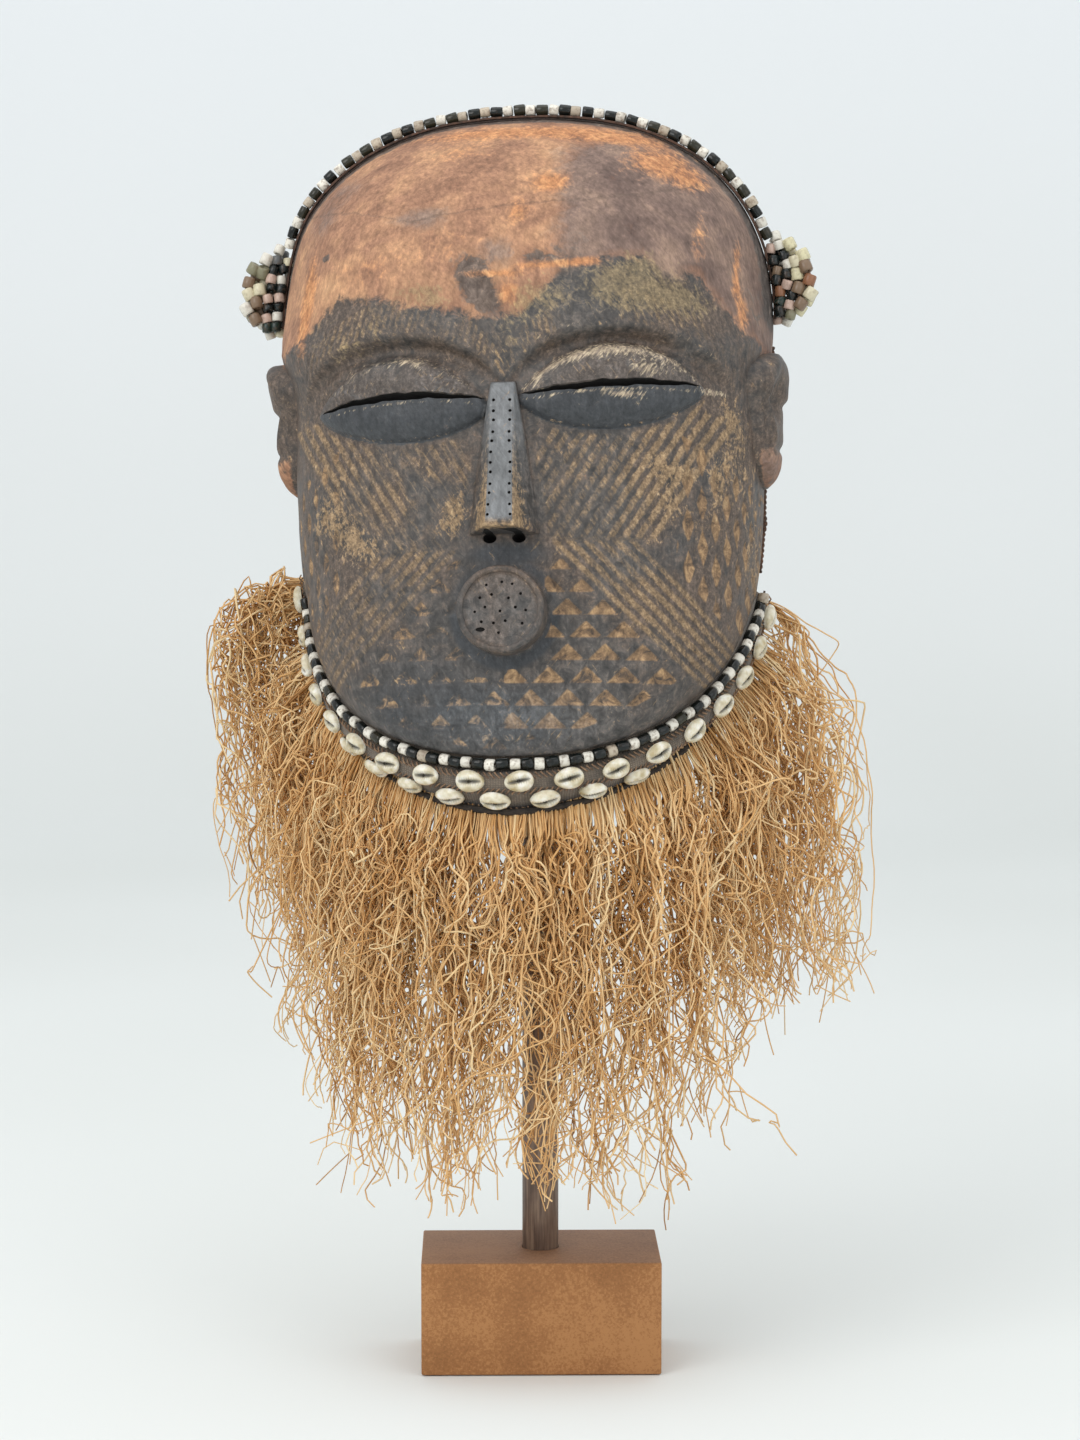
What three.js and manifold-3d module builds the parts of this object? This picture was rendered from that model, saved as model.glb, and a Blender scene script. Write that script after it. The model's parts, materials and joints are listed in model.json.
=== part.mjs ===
// A carved wooden face mask with bead strings, a cowrie collar and a raffia beard.
// It leans back on a round rod that stands in a plain block.
// Millimetres, +Z up, the viewer looks along +Y, the origin is the middle of the block's underside.
import * as THREE from 'three';
import { ConvexGeometry } from 'three/addons/geometries/ConvexGeometry.js';
import { mergeVertices } from 'three/addons/utils/BufferGeometryUtils.js';
import Module from 'manifold-3d';

const wasm = await Module();
wasm.setup();

// Driving dimensions
const GAP = 0.3;
const BLOCK = { width: 118, depth: 70, height: 56 };
const ROD = { radius: 9, socketDepth: 35, sides: 24 };

// The mask's own frame: x to the viewer's right, y back, z up from the chin's edge.
// Its back edge lies in the plane y = 0. The angles are its pose on the rod, in degrees.
const POSE = { seat: [-4, 20, 289.5], lean: 9, turn: 8, roll: 1.3 };

// The face's outline in front view is two half superellipses that meet at its widest height.
const FACE = {
  shift: -1.4,
  halfWidth: 124,
  widestAt: 225,
  crownRise: 106,
  crownPower: 2.35,
  chinDrop: 220,
  sidePower: 2.15,
  chinPower: 4.95,
  middle: 165,
  depth: 103,
  doming: 2.5,
  wall: 9,
};
// Below its widest height the face narrows and its middle drifts to the viewer's right.
const CHEEKS = { taper: 0.057, drift: 2.3, reach: 50 };
const SHELL_CELLS = 26;
const FOREHEAD = { height: 228, reach: 55, swell: 5 };
const CROWN_EDGE = { depth: 12, from: 245, to: 290, cut: 0.1 };
const JAW_EDGE = { depth: 93, top: 86, power: 0.85 };
const EYE = { offset: 50, height: 175.5, halfLength: 43, halfHeight: 20, swell: 7, hollow: 4 };
const SLIT = { halfLength: 41, halfHeight: 2.3 };
const BROW = { halfSpan: 50, rise: 24, halfWidth: 5.5, swell: 5 };
// The eyes differ. Each line has the height of its corners, its climb to the outer one and its bow.
const EYE_LEFT = { lid: [170.5, 1.2, 5], slit: [173.1, -0.9, 3.3], brow: 179 };
const EYE_RIGHT = { lid: [176.5, 3.1, 3.7], slit: [178.7, 3, 2], brow: 182 };
const NOSE = { foot: 109, top: 181, footHalf: 19, topHalf: 7, ridgeFootHalf: 7, ridgeTopHalf: 5.5 };
const NOSE_RIDGE = { footDepth: 123, topDepth: 108, nostrilRadius: 2.6, nostrilOffset: 7 };
const MOUTH = { height: 72.5, radius: 20.5, front: 119, lip: 3, recess: 1.6, sides: 28 };
const EAR = { low: 142, high: 209, front: 50, back: 5, lobe: 13, stem: 10.8, hollow: 0.45 };
const BEAD = { pitch: 5.9, radius: 2.9, neck: 2.1, sides: 4, edgeOffset: 4.4, chinOffset: 3.8 };
const BINDING = { inner: 0.35, outer: 1.15, halfDepth: 3 };
const ROSETTE = {
  sides: 4,
  radius: 3.3,
  neck: 2.5,
  pitch: 6.6,
  offset: 4.3,
  spacing: 5.2,
  depth: 3,
  stagger: 0.8,
};
// The lowest and highest point of each strand, from the face outward.
const ROSETTE_STRANDS = [[229, 265], [228, 271], [232, 267], [237, 262]];
const CORD = { radius: 1.7, low: 100, high: 216 };
const COLLAR = { turn: 85, turnPower: 0.55 };
const COWRIE = {
  halfLength: 7.5,
  halfWidth: 5.4,
  height: 6,
  lift: 0.4,
  upperCount: 18,
  upperRow: 12,
  upperFront: 1.6,
  lowerCount: 8,
  lowerFirst: 5,
  lowerRow: 19.4,
  lowerFront: -1.8,
  lowerTilt: 50,
};
const BEARD = {
  columns: 36,
  rows: 5,
  top: 5,
  thickness: 20,
  clear: 6,
  rootInFront: 26.8,
  rootAtEnds: 29.2,
  rootForward: -9,
  frontPuff: 5,
  footHeight: 104,
  spread: 70,
  lock: 0.35,
};
const BEARD_LEFT = { rise: 13, puff: 33, puffPower: 2, quickness: 5, bulge: 14, foot: 215 };
const BEARD_RIGHT = { rise: 6, puff: 46, puffPower: 1.4, quickness: 2.8, bulge: 0, foot: 192 };

// Colours
const COLOURS = {
  wood: 0x5b4538,
  binding: 0x4a362c,
  bead: 0x4d524e,
  cream: 0xb9ab86,
  cloth: 0x6d5a4e,
  cowrie: 0xe6dcbc,
  raffia: 0xb58a50,
  rod: 0x54463e,
  block: 0xa17144,
};

// Small maths
const degrees = THREE.MathUtils.degToRad;
const bell = (x) => Math.exp(-x * x);
const clamp01 = (x) => Math.min(1, Math.max(0, x));
const mix = (a, b, t) => a + (b - a) * t;
const smooth = (x, low, high) => THREE.MathUtils.smoothstep(x, low, high);

// Solids

// A closed solid from triangles, with its faces turned out.
function closedGeometry(points, triangles) {
  const geometry = new THREE.BufferGeometry().setFromPoints(points);
  let volume = 0;
  for (const [a, b, c] of triangles) {
    volume += points[a].dot(new THREE.Vector3().crossVectors(points[b], points[c]));
  }
  const facing = volume > 0 ? triangles : triangles.map(([a, b, c]) => [a, c, b]);
  geometry.setIndex(facing.flat());
  return geometry;
}

// A solid through rings of equally many points, with a flat fan at each end.
function loft(rings) {
  const around = rings[0].length;
  const points = rings.flat();
  const triangles = [];
  for (let ring = 0; ring < rings.length - 1; ring += 1) {
    for (let k = 0; k < around; k += 1) {
      const a = ring * around + k;
      const b = ring * around + ((k + 1) % around);
      triangles.push([a, b, b + around], [a, b + around, a + around]);
    }
  }
  const last = (rings.length - 1) * around;
  for (let k = 1; k < around - 1; k += 1) {
    triangles.push([0, k + 1, k], [last, last + k, last + k + 1]);
  }
  return closedGeometry(points, triangles);
}

function toManifold(geometry) {
  const bare = geometry.clone();
  bare.deleteAttribute('normal');
  bare.deleteAttribute('uv');
  const merged = mergeVertices(bare, 1e-4);
  const vertProperties = new Float32Array(merged.attributes.position.array);
  const triVerts = new Uint32Array(merged.index.array);
  return new wasm.Manifold(new wasm.Mesh({ numProp: 3, vertProperties, triVerts }));
}

function toGeometry(manifold) {
  const { vertProperties, triVerts } = manifold.getMesh();
  const geometry = new THREE.BufferGeometry();
  geometry.setAttribute('position', new THREE.BufferAttribute(new Float32Array(vertProperties), 3));
  geometry.setIndex(new THREE.BufferAttribute(new Uint32Array(triVerts), 1));
  return geometry;
}

function piece(name, geometry, colour, roughness = 0.8) {
  const material = new THREE.MeshStandardMaterial({ color: colour, roughness, metalness: 0 });
  const mesh = new THREE.Mesh(geometry, material);
  mesh.name = name;
  return mesh;
}

// The mask's frame on the rod

const maskFrame = new THREE.Group();
maskFrame.position.set(...POSE.seat);
maskFrame.rotation.set(
  degrees(-POSE.lean),
  degrees(-POSE.roll),
  degrees(-POSE.turn),
  'ZXY',
);
maskFrame.updateMatrixWorld(true);
const toPart = maskFrame.matrixWorld;

// The face's surface

// Below 1 inside the outline, 1 on it.
function outlineLevel(u, v) {
  const low = smooth(FACE.widestAt - v, 0, CHEEKS.reach);
  const middle = FACE.shift + CHEEKS.drift * low;
  const aside = Math.abs(u - middle) / (FACE.halfWidth * (1 - CHEEKS.taper * low));
  if (v > FACE.widestAt) {
    const rise = (v - FACE.widestAt) / FACE.crownRise;
    return aside ** FACE.crownPower + rise ** FACE.crownPower;
  }
  const drop = (FACE.widestAt - v) / FACE.chinDrop;
  return aside ** FACE.sidePower + drop ** FACE.chinPower;
}

// How far the outline lies from the face's middle in the direction alpha, by halving.
function outlineRadius(alpha) {
  let near = 0;
  let far = 2 * FACE.halfWidth;
  for (let step = 0; step < 30; step += 1) {
    const reach = (near + far) / 2;
    const level = outlineLevel(reach * Math.cos(alpha), FACE.middle + reach * Math.sin(alpha));
    if (level < 1) near = reach;
    else far = reach;
  }
  return (near + far) / 2;
}

// The edge runs in one plane at the sides, comes forward a little at the crown, and far along the jaw.
function edgeDepth(v) {
  const crown = CROWN_EDGE.depth * smooth(v, CROWN_EDGE.from, CROWN_EDGE.to);
  const chin = FACE.widestAt - FACE.chinDrop;
  const up = clamp01((v - chin) / (JAW_EDGE.top - chin));
  return crown + JAW_EDGE.depth * (1 - up ** JAW_EDGE.power);
}

function frontDepth(u, v) {
  const forehead = FOREHEAD.swell * bell((v - FOREHEAD.height) / FOREHEAD.reach);
  const across = (Math.abs(u) - EYE.offset) / EYE.halfLength;
  const up = (v - EYE.height) / (1.5 * EYE.halfHeight);
  return FACE.depth + forehead - EYE.hollow * bell(Math.hypot(across, up));
}

// The rounding from the front to the edge: 1 at the middle, 0 at the edge.
function doming(spread, alpha) {
  const cut = 1 - CROWN_EDGE.cut * smooth(Math.sin(alpha), 0.35, 0.9);
  const edge = (1 - cut ** FACE.doming) ** (1 / FACE.doming);
  const here = Math.max(0, 1 - (cut * spread) ** FACE.doming) ** (1 / FACE.doming);
  return (here - edge) / (1 - edge);
}

// A point of the outer surface, from its share of the way to the edge and its direction.
function facePoint(rho, alpha) {
  const reach = outlineRadius(alpha);
  const spread = Math.sin(clamp01(rho) * Math.PI / 2);
  const u = spread * reach * Math.cos(alpha);
  const v = FACE.middle + spread * reach * Math.sin(alpha);
  const edge = edgeDepth(FACE.middle + reach * Math.sin(alpha));
  const depth = edge + (frontDepth(u, v) - edge) * doming(spread, alpha);
  return new THREE.Vector3(u, -depth, v);
}

function faceNormal(rho, alpha) {
  const step = 0.01;
  const at = Math.min(1, Math.max(2 * step, rho));
  const along = facePoint(at, alpha).sub(facePoint(at - step, alpha));
  const around = facePoint(at, alpha + step).sub(facePoint(at, alpha - step));
  return new THREE.Vector3().crossVectors(along, around).normalize();
}

// The surface point and normal at a place in front view.
function faceAt(u, v) {
  const alpha = Math.atan2(v - FACE.middle, u);
  const spread = Math.min(1, Math.hypot(u, v - FACE.middle) / outlineRadius(alpha));
  const rho = Math.asin(spread) * 2 / Math.PI;
  return { point: facePoint(rho, alpha), normal: faceNormal(rho, alpha) };
}

// A square grid bent to the face's round outline.
function faceGrid(cells, inset) {
  const points = [];
  for (let row = 0; row <= cells; row += 1) {
    for (let column = 0; column <= cells; column += 1) {
      const s = -1 + 2 * column / cells;
      const t = -1 + 2 * row / cells;
      const x = s * Math.sqrt(1 - t * t / 2);
      const y = t * Math.sqrt(1 - s * s / 2);
      const rho = Math.min(1, Math.hypot(x, y));
      const alpha = Math.atan2(y, x);
      points.push(facePoint(rho, alpha).addScaledVector(faceNormal(rho, alpha), -inset));
    }
  }
  return points;
}

function gridTriangles(cells, first, flip) {
  const triangles = [];
  for (let row = 0; row < cells; row += 1) {
    for (let column = 0; column < cells; column += 1) {
      const a = first + row * (cells + 1) + column;
      const b = a + 1;
      const c = a + cells + 1;
      const d = c + 1;
      // The diagonal runs toward the nearest corner, so that no corner triangle collapses.
      const rising = (row < cells / 2) === (column < cells / 2);
      const pair = rising ? [[a, b, d], [a, d, c]] : [[a, b, c], [b, d, c]];
      for (const [p, q, r] of pair) triangles.push(flip ? [p, r, q] : [p, q, r]);
    }
  }
  return triangles;
}

function gridBorder(cells, first) {
  const at = (row, column) => first + row * (cells + 1) + column;
  const border = [];
  for (let k = 0; k < cells; k += 1) border.push(at(0, k));
  for (let k = 0; k < cells; k += 1) border.push(at(k, cells));
  for (let k = cells; k > 0; k -= 1) border.push(at(cells, k));
  for (let k = cells; k > 0; k -= 1) border.push(at(k, 0));
  return border;
}

// The hollow shell: a fine outer grid, an inner one half as fine, and the edge between them.
function hollowShell(cells) {
  const outer = faceGrid(cells, 0);
  const inner = faceGrid(cells / 2, FACE.wall);
  const points = [...outer, ...inner];
  const triangles = [
    ...gridTriangles(cells, 0, false),
    ...gridTriangles(cells / 2, outer.length, true),
  ];
  const rim = gridBorder(cells, 0);
  const lining = gridBorder(cells / 2, outer.length);
  for (let k = 0; k < lining.length; k += 1) {
    const start = rim[2 * k];
    const half = rim[2 * k + 1];
    const end = rim[(2 * k + 2) % rim.length];
    const here = lining[k];
    const next = lining[(k + 1) % lining.length];
    triangles.push([half, start, here], [half, here, next], [end, half, next]);
  }
  return closedGeometry(points, triangles);
}

// The shell's inside alone, for what rests under it.
function liningGeometry() {
  const cells = SHELL_CELLS / 2;
  const points = faceGrid(cells, FACE.wall);
  const lining = new THREE.BufferGeometry().setFromPoints(points);
  return lining.setIndex(gridTriangles(cells, 0, true).flat());
}

// Carved features

// A swelling on the face between two edges in front view, sunk a little into the wood.
function swelling(steps, across, place, height) {
  const sunk = 3;
  const rings = [];
  for (let i = 0; i <= steps; i += 1) {
    const s = -1 + 2 * i / steps;
    const ring = [];
    for (let k = 0; k <= across; k += 1) {
      const t = -1 + 2 * k / across;
      const { point, normal } = faceAt(...place(s, t));
      ring.push(point.addScaledVector(normal, height(s, t)));
    }
    for (let k = across; k >= 0; k -= across) {
      const t = -1 + 2 * k / across;
      const { point, normal } = faceAt(...place(s, t));
      ring.push(point.addScaledVector(normal, -sunk));
    }
    rings.push(ring);
  }
  return loft(rings);
}

function eyeBean(side) {
  const [corner, climb, bow] = side < 0 ? EYE_LEFT.lid : EYE_RIGHT.lid;
  const place = (s, t) => {
    const half = EYE.halfHeight * Math.max(0.04, 1 - s * s) ** 0.75;
    return [side * (EYE.offset + EYE.halfLength * s), corner + climb * s + bow * (1 - s * s) + half * t];
  };
  const height = (s, t) => EYE.swell * Math.sqrt(Math.max(0, (1 - s * s) * (1 - t * t))) - 0.4;
  return swelling(10, 4, place, height);
}

function browArch(side) {
  const { brow } = side < 0 ? EYE_LEFT : EYE_RIGHT;
  const place = (s, t) => {
    const arch = brow + BROW.rise * Math.max(0, 1 - s * s) ** 0.8;
    return [side * (EYE.offset + BROW.halfSpan * s), arch + BROW.halfWidth * t];
  };
  const height = (s, t) => BROW.swell * (1 - s * s * s * s) * (1 - t * t) - 0.4;
  return swelling(12, 3, place, height);
}

function eyeSlit(side) {
  const [corner, climb, bow] = side < 0 ? EYE_LEFT.slit : EYE_RIGHT.slit;
  const steps = 8;
  const shape = new THREE.Shape();
  const edge = (s, sign) => {
    const v = corner + climb * s + (bow + sign * SLIT.halfHeight) * (1 - s * s);
    return new THREE.Vector2(side * (EYE.offset + SLIT.halfLength * s), v);
  };
  const outline = [];
  for (let i = 0; i < steps; i += 1) outline.push(edge(-1 + 2 * i / steps, 1));
  for (let i = steps; i > 0; i -= 1) outline.push(edge(-1 + 2 * i / steps, -1));
  shape.setFromPoints(outline);
  const slit = new THREE.ExtrudeGeometry(shape, { depth: FACE.depth, bevelEnabled: false });
  slit.rotateX(Math.PI / 2);
  return slit.translate(0, -FACE.depth / 4, 0);
}

function noseWedge() {
  const root = FACE.depth - FACE.wall / 2;
  const corner = (u, depth, v) => new THREE.Vector3(u, -depth, v);
  return new ConvexGeometry([-1, 1].flatMap((side) => [
    corner(side * NOSE.footHalf, root, NOSE.foot),
    corner(side * NOSE.ridgeFootHalf, NOSE_RIDGE.footDepth, NOSE.foot + 2),
    corner(side * NOSE.topHalf, root, NOSE.top + 3),
    corner(side * NOSE.ridgeTopHalf, NOSE_RIDGE.topDepth, NOSE.top),
  ]));
}

function nostril(side) {
  const length = 16;
  const hole = new THREE.CylinderGeometry(
    NOSE_RIDGE.nostrilRadius, NOSE_RIDGE.nostrilRadius, length, 8,
  );
  hole.rotateX(Math.PI / 2);
  return hole.translate(side * NOSE_RIDGE.nostrilOffset, -FACE.depth - 8, NOSE.foot);
}

// A round mouth plug with a raised lip and a sunk face.
function mouthDisc() {
  const root = FACE.depth - FACE.wall / 2;
  const inner = MOUTH.radius - MOUTH.lip;
  const profile = [
    [0, root],
    [MOUTH.radius, root],
    [MOUTH.radius, MOUTH.front - 1],
    [MOUTH.radius - 1, MOUTH.front],
    [inner, MOUTH.front],
    [inner - 0.6, MOUTH.front - MOUTH.recess],
    [0, MOUTH.front - MOUTH.recess],
  ];
  const points = profile.map(([r, depth]) => new THREE.Vector2(r, depth));
  const disc = new THREE.LatheGeometry(points, MOUTH.sides);
  disc.rotateX(Math.PI);
  return disc.translate(0, 0, MOUTH.height);
}

// How far the outer surface reaches to a side at a height and a depth, by halving.
function sideReach(side, depth, v) {
  let near = FACE.halfWidth / 2;
  let far = FACE.halfWidth + Math.abs(FACE.shift);
  for (let step = 0; step < 24; step += 1) {
    const reach = (near + far) / 2;
    const inside = outlineLevel(side * reach, v) < 1;
    if (inside && -faceAt(side * reach, v).point.y > depth) near = reach;
    else far = reach;
  }
  return (near + far) / 2;
}

// An ear in low relief: an upper lobe, a thinner stem with a hollow in front, and a lower lobe.
function ear(side) {
  const rows = 8;
  const across = 4;
  const rings = [];
  for (let i = 0; i <= rows; i += 1) {
    const share = i / rows;
    const v = mix(EAR.low, EAR.high, share);
    const round = Math.sqrt(Math.max(0.05, 1 - (2 * share - 1) ** 4));
    const upper = EAR.lobe * bell((share - 0.84) / 0.2);
    const lower = EAR.stem * bell((share - 0.16) / 0.16);
    const front = mix(EAR.back, EAR.front, round * (0.72 + 0.28 * bell((share - 0.8) / 0.3)));
    const ring = [];
    for (let k = 0; k <= across; k += 1) {
      const t = k / across;
      const depth = mix(EAR.back, front, t);
      const hollow = 1 - EAR.hollow * bell((share - 0.52) / 0.2) * smooth(t, 0.3, 0.8);
      const rise = Math.max(upper, lower, EAR.stem) * round * hollow * (1 - (2 * t - 1) ** 6) - 0.4;
      ring.push(new THREE.Vector3(side * (sideReach(side, depth, v) + rise), -depth, v));
    }
    for (const depth of [front, EAR.back]) {
      ring.push(new THREE.Vector3(side * (sideReach(side, depth, v) - 4), -depth, v));
    }
    rings.push(ring);
  }
  return loft(rings);
}

function maskShell() {
  const added = [noseWedge(), mouthDisc()];
  const cut = [];
  for (const side of [-1, 1]) {
    added.push(browArch(side), eyeBean(side), ear(side));
    cut.push(eyeSlit(side), nostril(side));
  }
  let solid = toManifold(hollowShell(SHELL_CELLS));
  for (const geometry of added) solid = solid.add(toManifold(geometry));
  for (const geometry of cut) solid = solid.subtract(toManifold(geometry));
  return toGeometry(solid);
}

// Trim along the edge

// A frame on the edge at the direction alpha: its point, its outward way in front view, its run.
function edgeFrame(alpha) {
  const step = 0.01;
  const point = facePoint(1, alpha);
  const run = facePoint(1, alpha + step).sub(facePoint(1, alpha - step)).normalize();
  const out = new THREE.Vector3(run.z, 0, -run.x).normalize();
  return { point, run, out };
}

// The edge from one direction to another in equal steps of its real length.
function edgeStations(from, to, count, offset) {
  const fine = 240;
  const places = [];
  for (let i = 0; i <= fine; i += 1) {
    const alpha = mix(from, to, i / fine);
    const { point, out } = edgeFrame(alpha);
    places.push(point.addScaledVector(out, offset));
  }
  const curve = new THREE.CatmullRomCurve3(places);
  curve.arcLengthDivisions = fine * 4;
  const stations = [];
  for (let i = 0; i <= count; i += 1) {
    const position = curve.getPointAt(i / count);
    const run = curve.getTangentAt(i / count);
    stations.push({ position, run });
  }
  return { stations, length: curve.getLength() };
}

function ringAcross(position, run, radius, sides) {
  const side = new THREE.Vector3(0, 1, 0).addScaledVector(run, -run.y).normalize();
  const up = new THREE.Vector3().crossVectors(run, side);
  const ring = [];
  for (let k = 0; k < sides; k += 1) {
    const angle = 2 * Math.PI * k / sides;
    const spoke = side.clone().multiplyScalar(Math.cos(angle)).addScaledVector(up, Math.sin(angle));
    ring.push(position.clone().addScaledVector(spoke, radius));
  }
  return ring;
}

// Threaded beads as one chain that narrows between them.
function beadChain(stations, { radius, neck, sides }) {
  const rings = stations.map(({ position, run }, index) => (
    ringAcross(position, run, index % 2 ? radius : neck, sides)
  ));
  return loft(rings);
}

function beadString(from, to, offset, forward) {
  const { length } = edgeStations(from, to, 2, offset);
  const beads = Math.round(length / BEAD.pitch);
  const { stations } = edgeStations(from, to, 2 * beads, offset);
  for (const { position } of stations) position.y -= forward;
  return beadChain(stations, BEAD);
}

// A thin strip on the crown's edge, under its beads.
function crownBinding(from, to) {
  const rings = [];
  const steps = 24;
  for (let i = 0; i <= steps; i += 1) {
    const { point, out } = edgeFrame(mix(from, to, i / steps));
    const corner = (offset, forward) => {
      const place = point.clone().addScaledVector(out, offset);
      place.y -= forward;
      return place;
    };
    rings.push([
      corner(BINDING.inner, -BINDING.halfDepth),
      corner(BINDING.outer, -BINDING.halfDepth),
      corner(BINDING.outer, BINDING.halfDepth),
      corner(BINDING.inner, BINDING.halfDepth),
    ]);
  }
  return loft(rings);
}

// How far the outline reaches to a side at a height above the cheeks.
function outlineReach(side, v) {
  const rise = Math.max(0, v - FACE.widestAt) / FACE.crownRise;
  const aside = (1 - rise ** FACE.crownPower) ** (1 / FACE.crownPower);
  return FACE.halfWidth * aside + side * FACE.shift;
}

// Upright strands of beads side by side along the outline, at a temple.
function beadRosette(side) {
  let solid = null;
  for (const [strand, [low, high]] of ROSETTE_STRANDS.entries()) {
    const stations = [];
    const steps = 2 * Math.round((high - low) / ROSETTE.pitch);
    for (let i = 0; i <= steps; i += 1) {
      const v = mix(low, high, i / steps);
      const out = outlineReach(side, v) + ROSETTE.offset + strand * ROSETTE.spacing;
      const depth = ROSETTE.depth + ROSETTE.stagger * strand;
      stations.push({ position: new THREE.Vector3(side * out, -depth, v), run: new THREE.Vector3(0, 0, 1) });
    }
    const chain = toManifold(beadChain(stations, ROSETTE));
    solid = solid ? solid.add(chain) : chain;
  }
  return toGeometry(solid);
}

// A knotted cord behind the edge, from under the temple's beads to the collar.
function sideCord(side) {
  const steps = 14;
  const rings = [];
  for (let i = 0; i <= steps; i += 1) {
    const share = i / steps;
    const v = mix(CORD.low, CORD.high, share);
    const reach = sideReach(side, 0.5, v) - 0.4;
    const radius = CORD.radius * (i % 5 === 3 ? 1.25 : 1);
    const position = new THREE.Vector3(side * reach, CORD.radius * 1.25 + GAP, v);
    rings.push(ringAcross(position, new THREE.Vector3(0, 0, 1), radius, 5));
  }
  return loft(rings);
}

// The collar: a stuffed roll of cloth around the chin's beads, turned outward along the jaw.

// Its section, outward from the wood's edge and forward, in order around.
const COLLAR_SECTION = [
  [7.9, -7], [7.9, -0.6], [9.5, 1.5], [15.2, 1.6], [17.2, 0.8], [21.2, -4], [25.4, -7.5], [26, -11], [15, -13],
];

// The place of a point of the section, and the ways outward and forward there.
function collarPlace(alpha, outward, forward) {
  const { point, run, out } = edgeFrame(alpha);
  const front = new THREE.Vector3().crossVectors(out, run);
  const back = clamp01(1 + point.y / JAW_EDGE.depth);
  const swing = degrees(COLLAR.turn) * back ** COLLAR.turnPower;
  const across = out.clone().multiplyScalar(Math.cos(swing)).addScaledVector(front, -Math.sin(swing));
  const ahead = front.clone().multiplyScalar(Math.cos(swing)).addScaledVector(out, Math.sin(swing));
  const place = point.clone().addScaledVector(out, BEAD.chinOffset);
  place.addScaledVector(across, outward - BEAD.chinOffset).addScaledVector(ahead, forward);
  return { place, run, across, ahead };
}

// The directions that part the collar's run into equal real lengths.
function collarAngles(from, to, shares) {
  const fine = 400;
  const lengths = [0];
  let last = collarPlace(from, COWRIE.upperRow, 0).place;
  for (let i = 1; i <= fine; i += 1) {
    const next = collarPlace(mix(from, to, i / fine), COWRIE.upperRow, 0).place;
    lengths.push(lengths[i - 1] + next.distanceTo(last));
    last = next;
  }
  return shares.map((share) => {
    const index = lengths.findIndex((length) => length >= share * lengths[fine]);
    return mix(from, to, index / fine);
  });
}

function chinCollar(from, to) {
  const steps = 28;
  const shares = Array.from({ length: steps + 1 }, (_, i) => i / steps);
  return loft(collarAngles(from, to, shares).map((alpha) => (
    COLLAR_SECTION.map(([outward, forward]) => collarPlace(alpha, outward, forward).place)
  )));
}

// A cowrie, its toothed side out: a bean with a flat back.
function cowrie() {
  const shell = new THREE.SphereGeometry(1, 6, 4);
  shell.rotateZ(Math.PI / 2);
  const flat = -0.35;
  const place = shell.attributes.position;
  for (let i = 0; i < place.count; i += 1) {
    place.setXYZ(
      i,
      place.getX(i) * COWRIE.halfLength,
      place.getY(i) * COWRIE.halfWidth,
      (Math.max(flat, place.getZ(i)) - flat) * COWRIE.height / (1 - flat),
    );
  }
  return shell;
}

// A cowrie sewn on the collar, its length along the edge.
function sewnCowrie(name, alpha, outward, forward, tilt) {
  const mesh = piece(name, cowrie(), COLOURS.cowrie, 0.35);
  const { place, run, across, ahead } = collarPlace(alpha, outward, forward);
  const up = ahead.clone().multiplyScalar(Math.cos(tilt)).addScaledVector(across, Math.sin(tilt));
  const aside = new THREE.Vector3().crossVectors(up, run);
  mesh.quaternion.setFromRotationMatrix(new THREE.Matrix4().makeBasis(run, aside, up));
  mesh.position.copy(place).addScaledVector(up, COWRIE.lift);
  return mesh;
}

// Both rows of cowries. Numbers run from the viewer's left to the right.
function cowrieRows(from, to) {
  const { upperCount, upperRow, upperFront, lowerCount, lowerRow, lowerFront, lowerTilt } = COWRIE;
  const shares = (count, first) => (
    Array.from({ length: count }, (_, k) => (first + k) / upperCount)
  );
  const label = (row, k) => `${row}_cowrie_${String(k + 1).padStart(2, '0')}`;
  const upper = collarAngles(from, to, shares(upperCount, 0.5)).map((alpha, k) => (
    sewnCowrie(label('upper', k), alpha, upperRow, upperFront, 0)
  ));
  const lower = collarAngles(from, to, shares(lowerCount, COWRIE.lowerFirst)).map((alpha, k) => (
    sewnCowrie(label('lower', k), alpha, lowerRow, lowerFront, degrees(lowerTilt))
  ));
  return [...upper, ...lower];
}

// The beard: raffia that springs out under the collar, puffs up at the jaw's ends and falls.

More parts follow.
